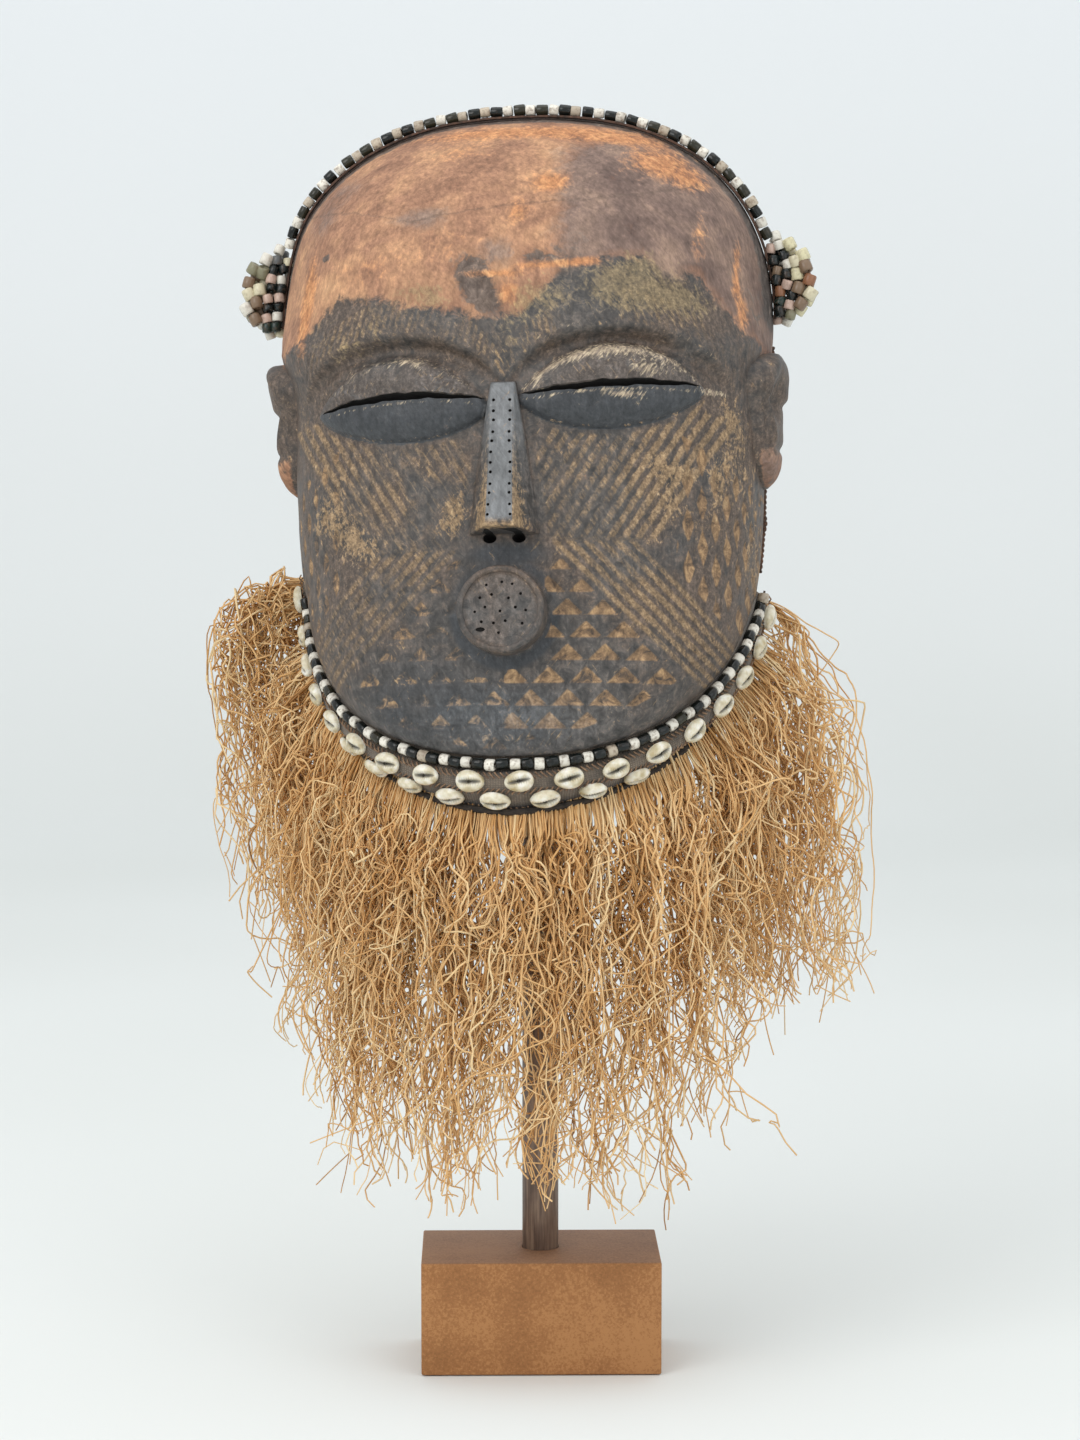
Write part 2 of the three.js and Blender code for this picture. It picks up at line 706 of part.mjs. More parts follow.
function beardRing(column, alpha) {
  const { columns, rows, top, thickness } = BEARD;
  const across = 2 * column / columns - 1;
  const outward = mix(BEARD.rootInFront, BEARD.rootAtEnds, smooth(Math.abs(across), 0, 0.6));
  const root = collarPlace(alpha, outward, BEARD.rootForward).place.applyMatrix4(toPart);
  const facing = degrees(BEARD.spread * across - POSE.turn);
  const out = new THREE.Vector3(Math.sin(facing), -Math.cos(facing), 0);
  const flank = across < 0 ? BEARD_LEFT : BEARD_RIGHT;
  const aside = Math.abs(across);
  const end = smooth(aside, 0.7, 1);
  const rise = end * flank.rise;
  const puff = mix(BEARD.frontPuff, flank.puff, aside ** flank.puffPower);
  const ragged = 6 * Math.sin(12 * across) + 4 * Math.sin(29 * across);
  const foot = mix(BEARD.footHeight, flank.foot, aside ** 2);
  const fall = root.z + rise - foot + ragged;
  const lock = 1 + BEARD.lock * Math.cos(Math.PI * column);
  const taper = mix(0.2, 1, smooth(1 - aside, 0, 0.1));
  const place = (down, side) => {
    const body = Math.sqrt(Math.sin(Math.PI * 0.9 * down));
    const half = mix(top / 2, thickness / 2 * (1 + end / 3), body) * (side > 0 ? lock : 1) * taper;
    const flare = puff * (1 - (1 - down) ** flank.quickness) + end * flank.bulge * bell((down - 0.2) / 0.2);
    const away = BEARD.clear * (1 + 1.8 * end) + flare + side * half;
    const spot = root.clone().addScaledVector(out, away);
    spot.z += rise - fall * down;
    return spot;
  };
  const ring = [];
  for (let row = 0; row <= rows; row += 1) ring.push(place(row / rows, 1));
  for (let row = rows; row >= 0; row -= 1) ring.push(place(row / rows, -1));
  return ring;
}

function raffiaBeard(from, to) {
  const rings = [];
  for (let column = 0; column <= BEARD.columns; column += 1) {
    rings.push(beardRing(column, mix(from, to, column / BEARD.columns)));
  }
  return loft(rings);
}

// The stand

function baseBlock() {
  const block = new THREE.BoxGeometry(BLOCK.width, BLOCK.depth, BLOCK.height);
  block.translate(0, 0, BLOCK.height / 2);
  const radius = ROD.radius + GAP;
  const socket = new THREE.CylinderGeometry(radius, radius, 2 * ROD.socketDepth, ROD.sides);
  socket.rotateX(Math.PI / 2);
  socket.translate(0, 0, BLOCK.height);
  return toGeometry(toManifold(block).subtract(toManifold(socket)));
}

// The rod's top is cut to the slope of the shell's inside, which rests on it.
function standRod() {
  const ceiling = new THREE.Mesh(liningGeometry().applyMatrix4(toPart));
  ceiling.material.side = THREE.DoubleSide;
  const caster = new THREE.Raycaster();
  const up = new THREE.Vector3(0, 0, 1);
  const heightAt = (x, y) => {
    caster.set(new THREE.Vector3(x, y, 2 * BLOCK.height), up);
    return caster.intersectObject(ceiling)[0].point.z;
  };
  const spokes = [];
  for (let k = 0; k < ROD.sides; k += 1) {
    const angle = 2 * Math.PI * k / ROD.sides;
    spokes.push([ROD.radius * Math.cos(angle), ROD.radius * Math.sin(angle)]);
  }
  const slopeX = (heightAt(ROD.radius, 0) - heightAt(-ROD.radius, 0)) / (2 * ROD.radius);
  const slopeY = (heightAt(0, ROD.radius) - heightAt(0, -ROD.radius)) / (2 * ROD.radius);
  const plane = ([x, y]) => slopeX * x + slopeY * y;
  const top = Math.min(...spokes.map(([x, y]) => heightAt(x, y) - plane([x, y]))) - GAP;
  const foot = BLOCK.height - ROD.socketDepth + GAP;
  return loft([
    spokes.map(([x, y]) => new THREE.Vector3(x, y, foot)),
    spokes.map(([x, y]) => new THREE.Vector3(x, y, top + plane([x, y]))),
  ]);
}

// Assembly

// The edge's directions where its trim starts and ends, from the viewer's right over the crown.
const CROWN_RUN = [degrees(41), degrees(139)];
const JAW_RUN = [degrees(213), degrees(327)];
const COLLAR_RUN = [degrees(208), degrees(327)];

maskFrame.add(piece('mask_shell', maskShell(), COLOURS.wood, 0.6));
maskFrame.add(piece('crown_binding', crownBinding(...CROWN_RUN), COLOURS.binding));
maskFrame.add(piece('crown_bead_string', beadString(...CROWN_RUN, BEAD.edgeOffset, 1), COLOURS.bead, 0.3));
maskFrame.add(piece('chin_bead_string', beadString(...JAW_RUN, BEAD.chinOffset, 0), COLOURS.bead, 0.3));
maskFrame.add(piece('left_bead_rosette', beadRosette(-1), COLOURS.cream, 0.4));
maskFrame.add(piece('right_bead_rosette', beadRosette(1), COLOURS.cream, 0.4));
maskFrame.add(piece('left_side_cord', sideCord(-1), COLOURS.binding));
maskFrame.add(piece('right_side_cord', sideCord(1), COLOURS.binding));
maskFrame.add(piece('chin_collar', chinCollar(...COLLAR_RUN), COLOURS.cloth));
maskFrame.add(...cowrieRows(...COLLAR_RUN));

const beadedMask = new THREE.Group();
beadedMask.add(maskFrame);
beadedMask.add(piece('raffia_beard', raffiaBeard(...COLLAR_RUN), COLOURS.raffia));
beadedMask.add(piece('stand_rod', standRod(), COLOURS.rod));
beadedMask.add(piece('base_block', baseBlock(), COLOURS.block));

export default beadedMask;
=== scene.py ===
# The looks of a beaded mask on its stand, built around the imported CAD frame.
# Sizes are millimetres in the mask's own frame: x to the viewer's right, y back, z up from the
# chin's edge. place() turns them into metres in the part's frame.
import functools
import itertools
import json
import math

import bmesh
import bpy
import numpy as np
from mathutils import Matrix, Vector

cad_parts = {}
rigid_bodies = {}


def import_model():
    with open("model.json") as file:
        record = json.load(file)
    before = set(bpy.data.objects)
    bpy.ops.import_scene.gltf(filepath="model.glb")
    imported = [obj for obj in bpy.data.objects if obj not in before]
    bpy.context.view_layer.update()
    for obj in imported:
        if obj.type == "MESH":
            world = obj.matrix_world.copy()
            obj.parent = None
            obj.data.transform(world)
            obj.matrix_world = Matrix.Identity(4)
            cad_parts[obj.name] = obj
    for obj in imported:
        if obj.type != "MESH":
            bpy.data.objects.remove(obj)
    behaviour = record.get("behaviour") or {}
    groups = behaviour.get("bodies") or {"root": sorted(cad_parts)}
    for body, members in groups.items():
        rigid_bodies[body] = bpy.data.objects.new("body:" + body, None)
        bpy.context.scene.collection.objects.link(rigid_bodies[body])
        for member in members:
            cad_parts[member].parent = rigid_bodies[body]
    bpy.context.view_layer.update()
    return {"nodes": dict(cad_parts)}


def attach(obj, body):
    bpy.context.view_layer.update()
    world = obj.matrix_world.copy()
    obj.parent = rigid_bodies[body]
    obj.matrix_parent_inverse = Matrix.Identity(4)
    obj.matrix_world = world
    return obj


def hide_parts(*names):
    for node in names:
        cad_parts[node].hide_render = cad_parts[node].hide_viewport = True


bl_info = {
    "name": "Beaded mask",
    "version": (1, 0, 0),
    "blender": (4, 5, 0),
    "location": "View3D > Sidebar > Beaded mask",
    "description": "Carves, strings and dresses a wooden face mask on its stand",
    "category": "Object",
}

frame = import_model()

MM = 0.001

# The mask's pose on its rod, as in the CAD
SEAT = np.array([-4.0, 20.0, 289.5])
LEAN, TURN, ROLL = math.radians(9), math.radians(8), math.radians(1.3)
POSE = np.array(
    Matrix.Rotation(-TURN, 3, "Z") @ Matrix.Rotation(-LEAN, 3, "X") @ Matrix.Rotation(-ROLL, 3, "Y")
)

# The face's outline and depth
SHIFT, HALF_WIDTH, WIDEST_AT = -1.4, 124.0, 225.0
CROWN_RISE, CROWN_POWER = 106.0, 2.35
CHIN_DROP, SIDE_POWER, CHIN_POWER = 220.0, 2.15, 4.95
# Below its widest height the face narrows and its middle drifts to the viewer's right.
CHEEK_TAPER, CHEEK_DRIFT, CHEEK_REACH = 0.057, 2.3, 50.0
MIDDLE, DEPTH, DOMING, WALL = 165.0, 103.0, 2.5, 9.0
JAW_DEPTH, JAW_TOP, JAW_POWER = 93.0, 86.0, 0.85
CHEEK_HEIGHT = 120.0
BEAD_OUT = 3.8

# Where the trim starts and ends along the edge, in degrees round the face's middle
CROWN_RUN = np.radians([41, 139])
JAW_RUN = np.radians([213, 327])
COLLAR_RUN = np.radians([208, 327])


# Small maths


def clamp01(x):
    return np.clip(x, 0.0, 1.0)


def mix(a, b, t):
    """The value a share of the way from one to the other."""
    return a + (b - a) * t


def smooth(x, low, high):
    """A smooth step from 0 at the low end to 1 at the high end."""
    t = clamp01((np.asarray(x, float) - low) / (high - low))
    return t * t * (3 - 2 * t)


def bell(x):
    """A bell curve: 1 at 0, and near 0 from 2 on."""
    return np.exp(-np.square(x))


def unit(v):
    """Vectors of length 1."""
    return v / np.linalg.norm(v, axis=-1, keepdims=True)


def circle(radius, count):
    """Points around a circle, as pairs."""
    angles = np.linspace(0, 2 * np.pi, count, endpoint=False)
    return [(radius * math.cos(a), radius * math.sin(a)) for a in angles]


def path_lengths(points):
    """The length of a path up to each of its points."""
    return np.concatenate([[0], np.cumsum(np.linalg.norm(np.diff(points, axis=0), axis=1))])


def place(points):
    """Points of the mask's frame, in millimetres, as metres in the part's frame."""
    return (SEAT + np.asarray(points, float) @ POSE.T) * MM


def mottle(points, size, seed):
    """Smooth noise from -1 to 1, with lumps of the given size."""
    spot = np.asarray(points, float) / size + 17.31 * seed
    cell = np.floor(spot)
    share = spot - cell
    share = share * share * (3 - 2 * share)
    total = np.zeros(len(spot))
    for corner in itertools.product((0, 1), repeat=3):
        key = np.sin((cell + corner) @ np.array([127.1, 311.7, 74.7])) * 43758.5453
        weight = np.prod(np.where(corner, share, 1 - share), axis=-1)
        total += weight * (2 * (key - np.floor(key)) - 1)
    return total


# The face's surface


def outline_level(u, v):
    """Below 1 inside the face's outline in front view, above 1 outside."""
    low = smooth(WIDEST_AT - v, 0, CHEEK_REACH)
    aside = np.abs(u - SHIFT - CHEEK_DRIFT * low) / (HALF_WIDTH * (1 - CHEEK_TAPER * low))
    rise = np.maximum(v - WIDEST_AT, 0) / CROWN_RISE
    drop = np.maximum(WIDEST_AT - v, 0) / CHIN_DROP
    crown = aside**CROWN_POWER + rise**CROWN_POWER
    return np.where(v > WIDEST_AT, crown, aside**SIDE_POWER + drop**CHIN_POWER)


def outline_radius(alpha):
    """How far the outline is from the face's middle in a direction, by halving."""
    near = np.zeros_like(alpha)
    far = np.full_like(alpha, 2 * HALF_WIDTH)
    for _ in range(30):
        reach = (near + far) / 2
        inside = outline_level(reach * np.cos(alpha), MIDDLE + reach * np.sin(alpha)) < 1
        near = np.where(inside, reach, near)
        far = np.where(inside, far, reach)
    return (near + far) / 2


def edge_depth(v):
    """How far the edge stands in front of the back, at a height."""
    chin = WIDEST_AT - CHIN_DROP
    up = clamp01((v - chin) / (JAW_TOP - chin))
    return 12 * smooth(v, 245, 290) + JAW_DEPTH * (1 - up**JAW_POWER)


def front_depth(u, v):
    """How far the plain front stands out: a full forehead over sunk sockets."""
    forehead = 5 * bell((v - 228) / 55)
    socket = 4 * bell(np.hypot((np.abs(u) - 50) / 43, (v - 175.5) / 30))
    return DEPTH + forehead - socket


def face_point(rho, alpha):
    """A point of the outer surface from its share of the way to the edge and its direction."""
    rho, alpha = np.broadcast_arrays(np.asarray(rho, float), np.asarray(alpha, float))
    reach = outline_radius(alpha)
    spread = np.sin(clamp01(rho) * np.pi / 2)
    u = spread * reach * np.cos(alpha)
    v = MIDDLE + spread * reach * np.sin(alpha)
    edge = edge_depth(MIDDLE + reach * np.sin(alpha))
    cut = 1 - 0.1 * smooth(np.sin(alpha), 0.35, 0.9)
    low = (1 - cut**DOMING) ** (1 / DOMING)
    here = np.maximum(0, 1 - (cut * spread) ** DOMING) ** (1 / DOMING)
    depth = edge + (front_depth(u, v) - edge) * (here - low) / (1 - low)
    return np.stack([u, -depth, v], axis=-1)


def face_normal(rho, alpha):
    """The way out of the surface."""
    step = 0.01
    at = np.clip(rho, 2 * step, 1)
    along = face_point(at, alpha) - face_point(at - step, alpha)
    around = face_point(at, alpha + step) - face_point(at, alpha - step)
    return unit(np.cross(along, around))


def face_at(u, v):
    """The surface's point and normal at a place in front view."""
    alpha = np.arctan2(v - MIDDLE, u)
    spread = np.minimum(1, np.hypot(u, v - MIDDLE) / outline_radius(alpha))
    rho = np.arcsin(spread) * 2 / np.pi
    return face_point(rho, alpha), face_normal(rho, alpha)


def side_reach(side, depth, v):
    """How far the surface reaches to a side at a depth and a height, by halving."""
    near = np.full(np.shape(v), HALF_WIDTH / 2)
    far = np.full(np.shape(v), HALF_WIDTH + abs(SHIFT))
    for _ in range(24):
        reach = (near + far) / 2
        inside = outline_level(side * reach, v) < 1
        inside &= -face_at(side * reach, v)[0][..., 1] > depth
        near = np.where(inside, reach, near)
        far = np.where(inside, far, reach)
    return (near + far) / 2


def edge_frame(alpha):
    """A point of the edge with its run and its outward way in front view."""
    step = 0.01
    point = face_point(1, alpha)
    run = unit(face_point(1, alpha + step) - face_point(1, alpha - step))
    out = unit(np.stack([run[..., 2], 0 * run[..., 0], -run[..., 0]], axis=-1))
    return point, run, out


def collar_place(alpha, outward, forward):
    """A place on the collar with its run and its ways outward and forward."""
    point, run, out = edge_frame(alpha)
    front = np.cross(out, run)
    swing = (math.radians(85) * clamp01(1 + point[..., 1] / JAW_DEPTH) ** 0.55)[..., None]
    across = out * np.cos(swing) - front * np.sin(swing)
    ahead = front * np.cos(swing) + out * np.sin(swing)
    outward = np.asarray(outward, float)[..., None]
    forward = np.asarray(forward, float)[..., None]
    spot = point + out * BEAD_OUT + across * (outward - BEAD_OUT) + ahead * forward
    return spot, run, across, ahead


def even_angles(run, shares, path):
    """The directions that part a path along the edge into shares of its real length."""
    fine = np.linspace(*run, 800)
    lengths = path_lengths(path(fine))
    return np.interp(np.asarray(shares) * lengths[-1], lengths, fine), lengths[-1]


def collar_angles(shares):
    """The directions of places that are shares of the collar's length along."""
    return even_angles(COLLAR_RUN, shares, lambda alpha: collar_place(alpha, 12, 0)[0])[0]


# The carver's lines, in front view

# Each lid and slit: the height of its corners, its climb to the outer corner and its bow.
# Each brow: its middle, its foot and its top. The two sides differ.
EYES = {
    -1: {"lid": (170.5, 1.2, 5.0), "slit": (173.1, -0.9, 3.3), "brow": (-51.5, 180.0, 206.0)},
    1: {"lid": (176.5, 3.1, 3.7), "slit": (178.7, 3.0, 2.0), "brow": (54.0, 182.5, 209.0)},
}
LID = {"offset": 50.0, "half_length": 43.5, "half_height": 20.3, "swell": 7.0}
SLIT = {"half_height": 1.75, "deep": 20.0, "sink": 0.55}
BROW = {"half_span": 52.0, "ridge": 4.6, "hollow": 3.0}
NOSE = {"foot": 109.0, "top": 181.0, "foot_half": 19.0, "top_half": 7.0}
NOSE_RIDGE = {"foot_half": 7.0, "top_half": 5.5, "foot_depth": 123.0, "top_depth": 108.0}
MOUTH = {"height": 72.5, "radius": 20.5, "front": 119.0, "lip": 3.0, "recess": 1.6}
EAR = {"low": 142.0, "high": 209.0, "front": 50.0, "back": 5.0, "lobe": 13.0, "stem": 10.8}
TRIANGLE = {"apex": (29.5, 100.8), "pitch": 17.5, "row": 10.7, "half": 8.5, "height": 8.3}
DIAMOND = {"pitch": 8.6, "rise": 21.0, "half": 3.7}
# The long lines under the eyes and the chevron's arms: their slopes, pitches and first and last lines
LONG_LINES = {"across": 0.848, "down": 0.53, "pitch": 5.4, "first": -67.0, "last": 4.0}
CHEVRON = {"slope": 0.707, "pitch": 5.2, "first": 90.5, "last": 119.0, "bend": 98.0}
STROKE_PITCH = 3.3


def eye_line(values, u, side):
    """A line from corner to corner of an eye, and how far along it a place is, from -1 to 1."""
    corner, climb, bow = values
    along = (side * u - LID["offset"]) / LID["half_length"]
    part = np.clip(along, -1, 1)
    return corner + climb * part + bow * (1 - part**2), along


def lid_place(u, v, side):
    """Where a point lies in an eye: -1 to 1 along it and across it."""
    axis, along = eye_line(EYES[side]["lid"], u, side)
    half = LID["half_height"] * np.maximum(0.02, 1 - along**2) ** 0.75
    return along, (v - axis) / half


def brow_gap(u, v, side):
    """Height above the brow's line, and how far along the brow the point is."""
    middle, foot, top = EYES[side]["brow"]
    along = (u - middle) / BROW["half_span"]
    return v - foot - (top - foot) * np.maximum(0, 1 - along**2) ** 0.6, along


def lid_foot(u):
    """The height of the lower lid's border, or of the eye's corner beside it."""
    foot = np.full(np.shape(u), 172.0)
    for side, eye in EYES.items():
        axis, along = eye_line(eye["lid"], u, side)
        half = LID["half_height"] * np.maximum(0, 1 - along**2) ** 0.75
        foot = np.where(np.abs(along) < 1, axis - half, foot)
    return foot


def nose_share(v):
    """How far up the nose a height is: 0 at its foot and 1 at its top."""
    return (v - NOSE["foot"]) / (NOSE["top"] - NOSE["foot"])


def carving(u, v, girth):
    """The cut pattern: a line phase with its zone, the chip-cut shapes, and how bright both show.

    The phase counts lines. The zone and the chips are distances in mm, above 0 inside.
    """
    phase = np.zeros_like(u)
    zone = np.full_like(u, -6.0)
    chips = np.full_like(u, -6.0)
    line_show = np.zeros_like(u)
    chip_show = np.zeros_like(u)
    mouth = np.hypot(u, v - MOUTH["height"]) - MOUTH["radius"] - 2
    row = np.floor((TRIANGLE["apex"][1] + 0.6 - v) / TRIANGLE["row"])
    up = v - TRIANGLE["apex"][1] + TRIANGLE["height"] + TRIANGLE["row"] * row
    pitch, half = TRIANGLE["pitch"], TRIANGLE["half"]
    aside = np.abs((u - TRIANGLE["apex"][0] - pitch / 2 * (row % 2) + pitch / 2) % pitch - pitch / 2)
    triangle = np.minimum(up, (half * (1 - up / TRIANGLE["height"]) - aside) * 0.7)

    def lines(count, inside, show):
        nonlocal phase, zone, line_show
        pick = inside > zone
        phase, zone = np.where(pick, count, phase), np.where(pick, inside, zone)
        line_show = np.where(pick, show, line_show)

    def cuts(inside, show):
        nonlocal chips, chip_show
        pick = inside > chips
        chips, chip_show = np.where(pick, inside, chips), np.where(pick, show, chip_show)

    for side, lift, worn in ((1, 0.0, 0.0), (-1, 4.0, 1.0)):
        x, y = side * u, v + lift
        off = np.where(x > 0, 0.0, 50.0)
        nose = x - mix(21, 9, clamp01(nose_share(v)))
        # Long lines that fall from the lower lid toward the nose's foot
        p = LONG_LINES["across"] * x - LONG_LINES["down"] * y
        ends = (p - LONG_LINES["first"], LONG_LINES["last"] - p)
        inside = np.minimum.reduce([lid_foot(u) - 2.5 - v, nose, y - 107, *ends])
        bright = mix(0.6, 1.0, smooth(p, -40, -12)) * mix(0.75, 1.0, smooth(y, 112, 140))
        lines(p / LONG_LINES["pitch"], inside - off, bright * (1 - 0.35 * worn))
        # The lower arms of the chevron
        along = CHEVRON["slope"] * (x - y)
        q = CHEVRON["slope"] * (x + y) - CHEVRON["bend"]
        q = CHEVRON["bend"] + q * (1 + 0.004 * np.maximum(along, 0))
        ends = (q - CHEVRON["first"], CHEVRON["last"] - q)
        inside = np.minimum.reduce([*ends, x - 23, 104 - x, 107 - y, mouth])
        lines(ends[0] / CHEVRON["pitch"], inside - off, 0.72 - 0.22 * worn)
        # Rows of triangles, point up, between the mouth, the arms and the chin
        beard_line = y - 12 - 0.0045 * x**2
        region = np.minimum.reduce(
            [mouth, 88.5 - q, 101.5 - y, x - np.where(y < 46, -1, 19), beard_line]
        )
        faded = smooth(u, -30, 10) * mix(0.62, 1.0, smooth(v, 40, 62))
        show = np.where(side > 0, mix(0.45, 1, faded), 0.42)
        cuts(np.minimum(triangle - 0.5 * worn, region) - off, show)
        # Tall diamonds toward the ear, each column half a diamond higher or lower than the next
        place_in_row, half_rise = side * girth / DIAMOND["pitch"], DIAMOND["rise"] / 2
        column = np.floor(place_in_row)
        across = np.abs(place_in_row - column - 0.5) * DIAMOND["pitch"]
        shifted = y + np.where(column % 2 > 0.5, half_rise, 0.0)
        height = np.abs(shifted % DIAMOND["rise"] - half_rise)
        region = np.minimum.reduce([q - 122, x - 80, 148 - y - 0.6 * (x - 100), y - 34])
        diamond = DIAMOND["half"] - across - 0.4 * height
        cuts(np.minimum(diamond - 0.7 * worn, region) - off, 0.95 - 0.3 * worn)
        # Short strokes above the brow
        above, part = brow_gap(u, v, side)
        slant = u + 0.22 * side * v
        ends = BROW["half_span"] * (1.02 - np.abs(part))
        inside = np.minimum.reduce([above - 1.5, 18 - 7 * part**2 - above, ends])
        lines(slant / STROKE_PITCH, inside, 0.42)
    return phase, np.clip(zone, -6, 6), np.clip(chips, -6, 6), line_show, chip_show


def relief(u, v, girth, groove):
    """How far the carving stands out from the plain face, along its normal."""
    height = np.zeros_like(u)
    for side, eye in EYES.items():
        along, across = lid_place(u, v, side)
        ends = np.maximum(0, 1 - along**2)
        height += LID["swell"] * ends**0.5 * np.maximum(0, 1 - np.abs(across) ** 3.4) ** 0.85
        # The upper lid's raised border, and its edge over the slit
        height += 1.0 * bell((across - 0.84) / 0.1) * ends**0.5
        slit = eye_line(eye["slit"], u, side)[0]
        height += 0.5 * smooth(v - slit, -0.5, 1.5) * smooth(1 - across, 0.0, 0.5) * ends
        above, part = brow_gap(u, v, side)
        fade = np.maximum(0, 1 - part**4)
        outside = smooth(np.hypot(along, across), 0.98, 1.06)
        ridge = np.where(above > 0, bell(above / 14), bell(above / 3.2))
        height += fade * (BROW["ridge"] * ridge - BROW["hollow"] * outside * bell((above + 6.5) / 4))
    phase, zone, chips, _, _ = carving(u, v, girth)
    line = smooth(np.abs((phase % 1) - 0.5), 0.24, 0.42) * smooth(zone, -0.4, 0.8)
    return height - groove * (line + 1.5 * smooth(chips, -0.3, 1.6))


def girth_table():
    """Distance round the face from its middle line, at the height of the cheeks."""
    u = np.linspace(-HALF_WIDTH - 1, HALF_WIDTH - 4, 500)
    steps = path_lengths(face_at(u, np.full_like(u, CHEEK_HEIGHT))[0])
    return u, steps - np.interp(0, u, steps)


GIRTH = girth_table()


# Meshes


def fresh(name):
    """Clears an earlier object of this name, so that an operator can run again."""
    if name in bpy.data.objects:
        bpy.data.objects.remove(bpy.data.objects[name], do_unlink=True)


def new_object(name, data):
    """A fresh object in the scene."""
    fresh(name)
    piece = bpy.data.objects.new(name, data)
    bpy.context.scene.collection.objects.link(piece)
    return piece


def facing_out(points, faces):
    """The faces of a closed mesh, turned so that they face out."""
    volume = 0.0
    for size in {len(face) for face in faces}:
        group = np.array([face for face in faces if len(face) == size])
        for k in range(1, size - 1):
            a, b, c = (points[group[:, i]] for i in (0, k, k + 1))
            volume += np.einsum("ij,ij->i", a, np.cross(b, c)).sum()
    return faces if volume > 0 else [face[::-1] for face in faces]


def new_mesh(name, points, faces=(), edges=()):
    """A mesh of points, faces and loose edges."""
    mesh = bpy.data.meshes.new(name)
    mesh.from_pydata(np.asarray(points, float).tolist(), edges, faces)
    mesh.update()
    return mesh


ATTRIBUTE_KINDS = {1: ("FLOAT", "value"), 3: ("FLOAT_VECTOR", "vector"), 4: ("FLOAT_COLOR", "color")}


def give(mesh, **values):
    """Adds point attributes: one number, three or four for each vertex."""
    for name, data in values.items():
        data = np.asarray(data, float)
        width = 1 if data.ndim == 1 else data.shape[1]
        kind, field = ATTRIBUTE_KINDS[width]
        mesh.attributes.new(name, kind, "POINT").data.foreach_set(field, data.ravel())


def grid_faces(rows, columns, first=0, closed=False):
    """Quads over rows of points. Closed means that each row meets its own start."""
    faces = []
    span = columns if closed else columns - 1
    for row, k in itertools.product(range(rows - 1), range(span)):
        a = first + row * columns + k
        b = first + row * columns + (k + 1) % columns
        faces.append((a, b, b + columns, a + columns))
    return faces


def loft(rings):
    """A closed skin through rings of equally many points, with both ends capped."""
    rings = np.asarray(rings, float)
    rows, columns = rings.shape[:2]
    points = rings.reshape(-1, 3)
    faces = grid_faces(rows, columns, closed=True)
    faces.append(tuple(range(columns))[::-1])
    faces.append(tuple(range((rows - 1) * columns, rows * columns)))
    return points, facing_out(points, faces)


def joined(parts):
    """Several meshes as one list of points and faces."""
    points, faces, first = [], [], 0
    for some, shapes in parts:
        points.append(some)
        faces.extend(tuple(first + k for k in face) for face in shapes)
        first += len(some)
    return np.concatenate(points), faces


def combined(base, other, operation):
    """The mesh of two closed solids after a union or a difference."""
    first = new_object("solid_a", new_mesh("solid_a", *base))
    second = new_object("solid_b", new_mesh("solid_b", *other))
    boolean = first.modifiers.new("combine", "BOOLEAN")
    boolean.object = second
    boolean.operation = operation
    boolean.solver = "MANIFOLD"
    graph = bpy.context.evaluated_depsgraph_get()
    result = first.evaluated_get(graph).to_mesh()
    points = np.empty(3 * len(result.vertices))
    result.vertices.foreach_get("co", points)
    faces = [tuple(polygon.vertices) for polygon in result.polygons]
    if not faces:
        raise RuntimeError(f"the {operation.lower()} left nothing")
    fresh("solid_a")
    fresh("solid_b")
    return points.reshape(-1, 3), faces


def finish_piece(name, mesh, slot, *nodes, material=None, sharp=35):
    """Makes a piece of a mesh, with its material, its shading and its place in the frame."""
    piece = new_object(name, mesh)
    if material:
        mesh.materials.clear()
        mesh.materials.append(material)
    mesh.shade_smooth()
    if sharp:
        mesh.set_sharp_from_angle(angle=math.radians(sharp))
    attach(piece, "root")
    if nodes:
        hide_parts(*nodes)
    return piece


# Node trees


def linear(code):
    """A colour code of the screen, such as #a4754a, as linear light."""
    parts = [int(code[k : k + 2], 16) / 255 for k in (1, 3, 5)]
    light = [c / 12.92 if c <= 0.04045 else ((c + 0.055) / 1.055) ** 2.4 for c in parts]
    return (*light, 1.0)


def connect(tree, node, links):
    """Gives each named input a value or another node's output."""
    for name, value in links.items():
        if isinstance(value, bpy.types.NodeSocket):
            tree.links.new(value, node.inputs[name])
        else:
            node.inputs[name].default_value = value


def add_node(tree, kind, links=None, stops=None, out=0, **settings):
    """Adds a node with its settings and its links, and returns one of its outputs."""
    node = tree.nodes.new(kind)
    for name, value in settings.items():
        setattr(node, name, value)
    connect(tree, node, links or {})
    if stops:
        ramp = node.color_ramp.elements
        while len(ramp) < len(stops):
            ramp.new(1.0)
        for element, (position, code) in zip(ramp, stops):
            element.position = position
            element.color = linear(code)
    return node.outputs[out] if len(node.outputs) else None


def new_material(name):
    """A fresh material, the call that adds a node to it, and its object coordinates."""
    if name in bpy.data.materials:
        bpy.data.materials.remove(bpy.data.materials[name])
    material = bpy.data.materials.new(name)
    material.use_nodes = True
    add = functools.partial(add_node, material.node_tree)
    return material, add, add("ShaderNodeTexCoord", out="Object")


def surfaced(material, **values):
    """The material with the sockets of its surface shader set or linked, named with _ for a space."""
    tree = material.node_tree
    links = {name.replace("_", " "): value for name, value in values.items()}
    connect(tree, tree.nodes["Principled BSDF"], links)
    return material


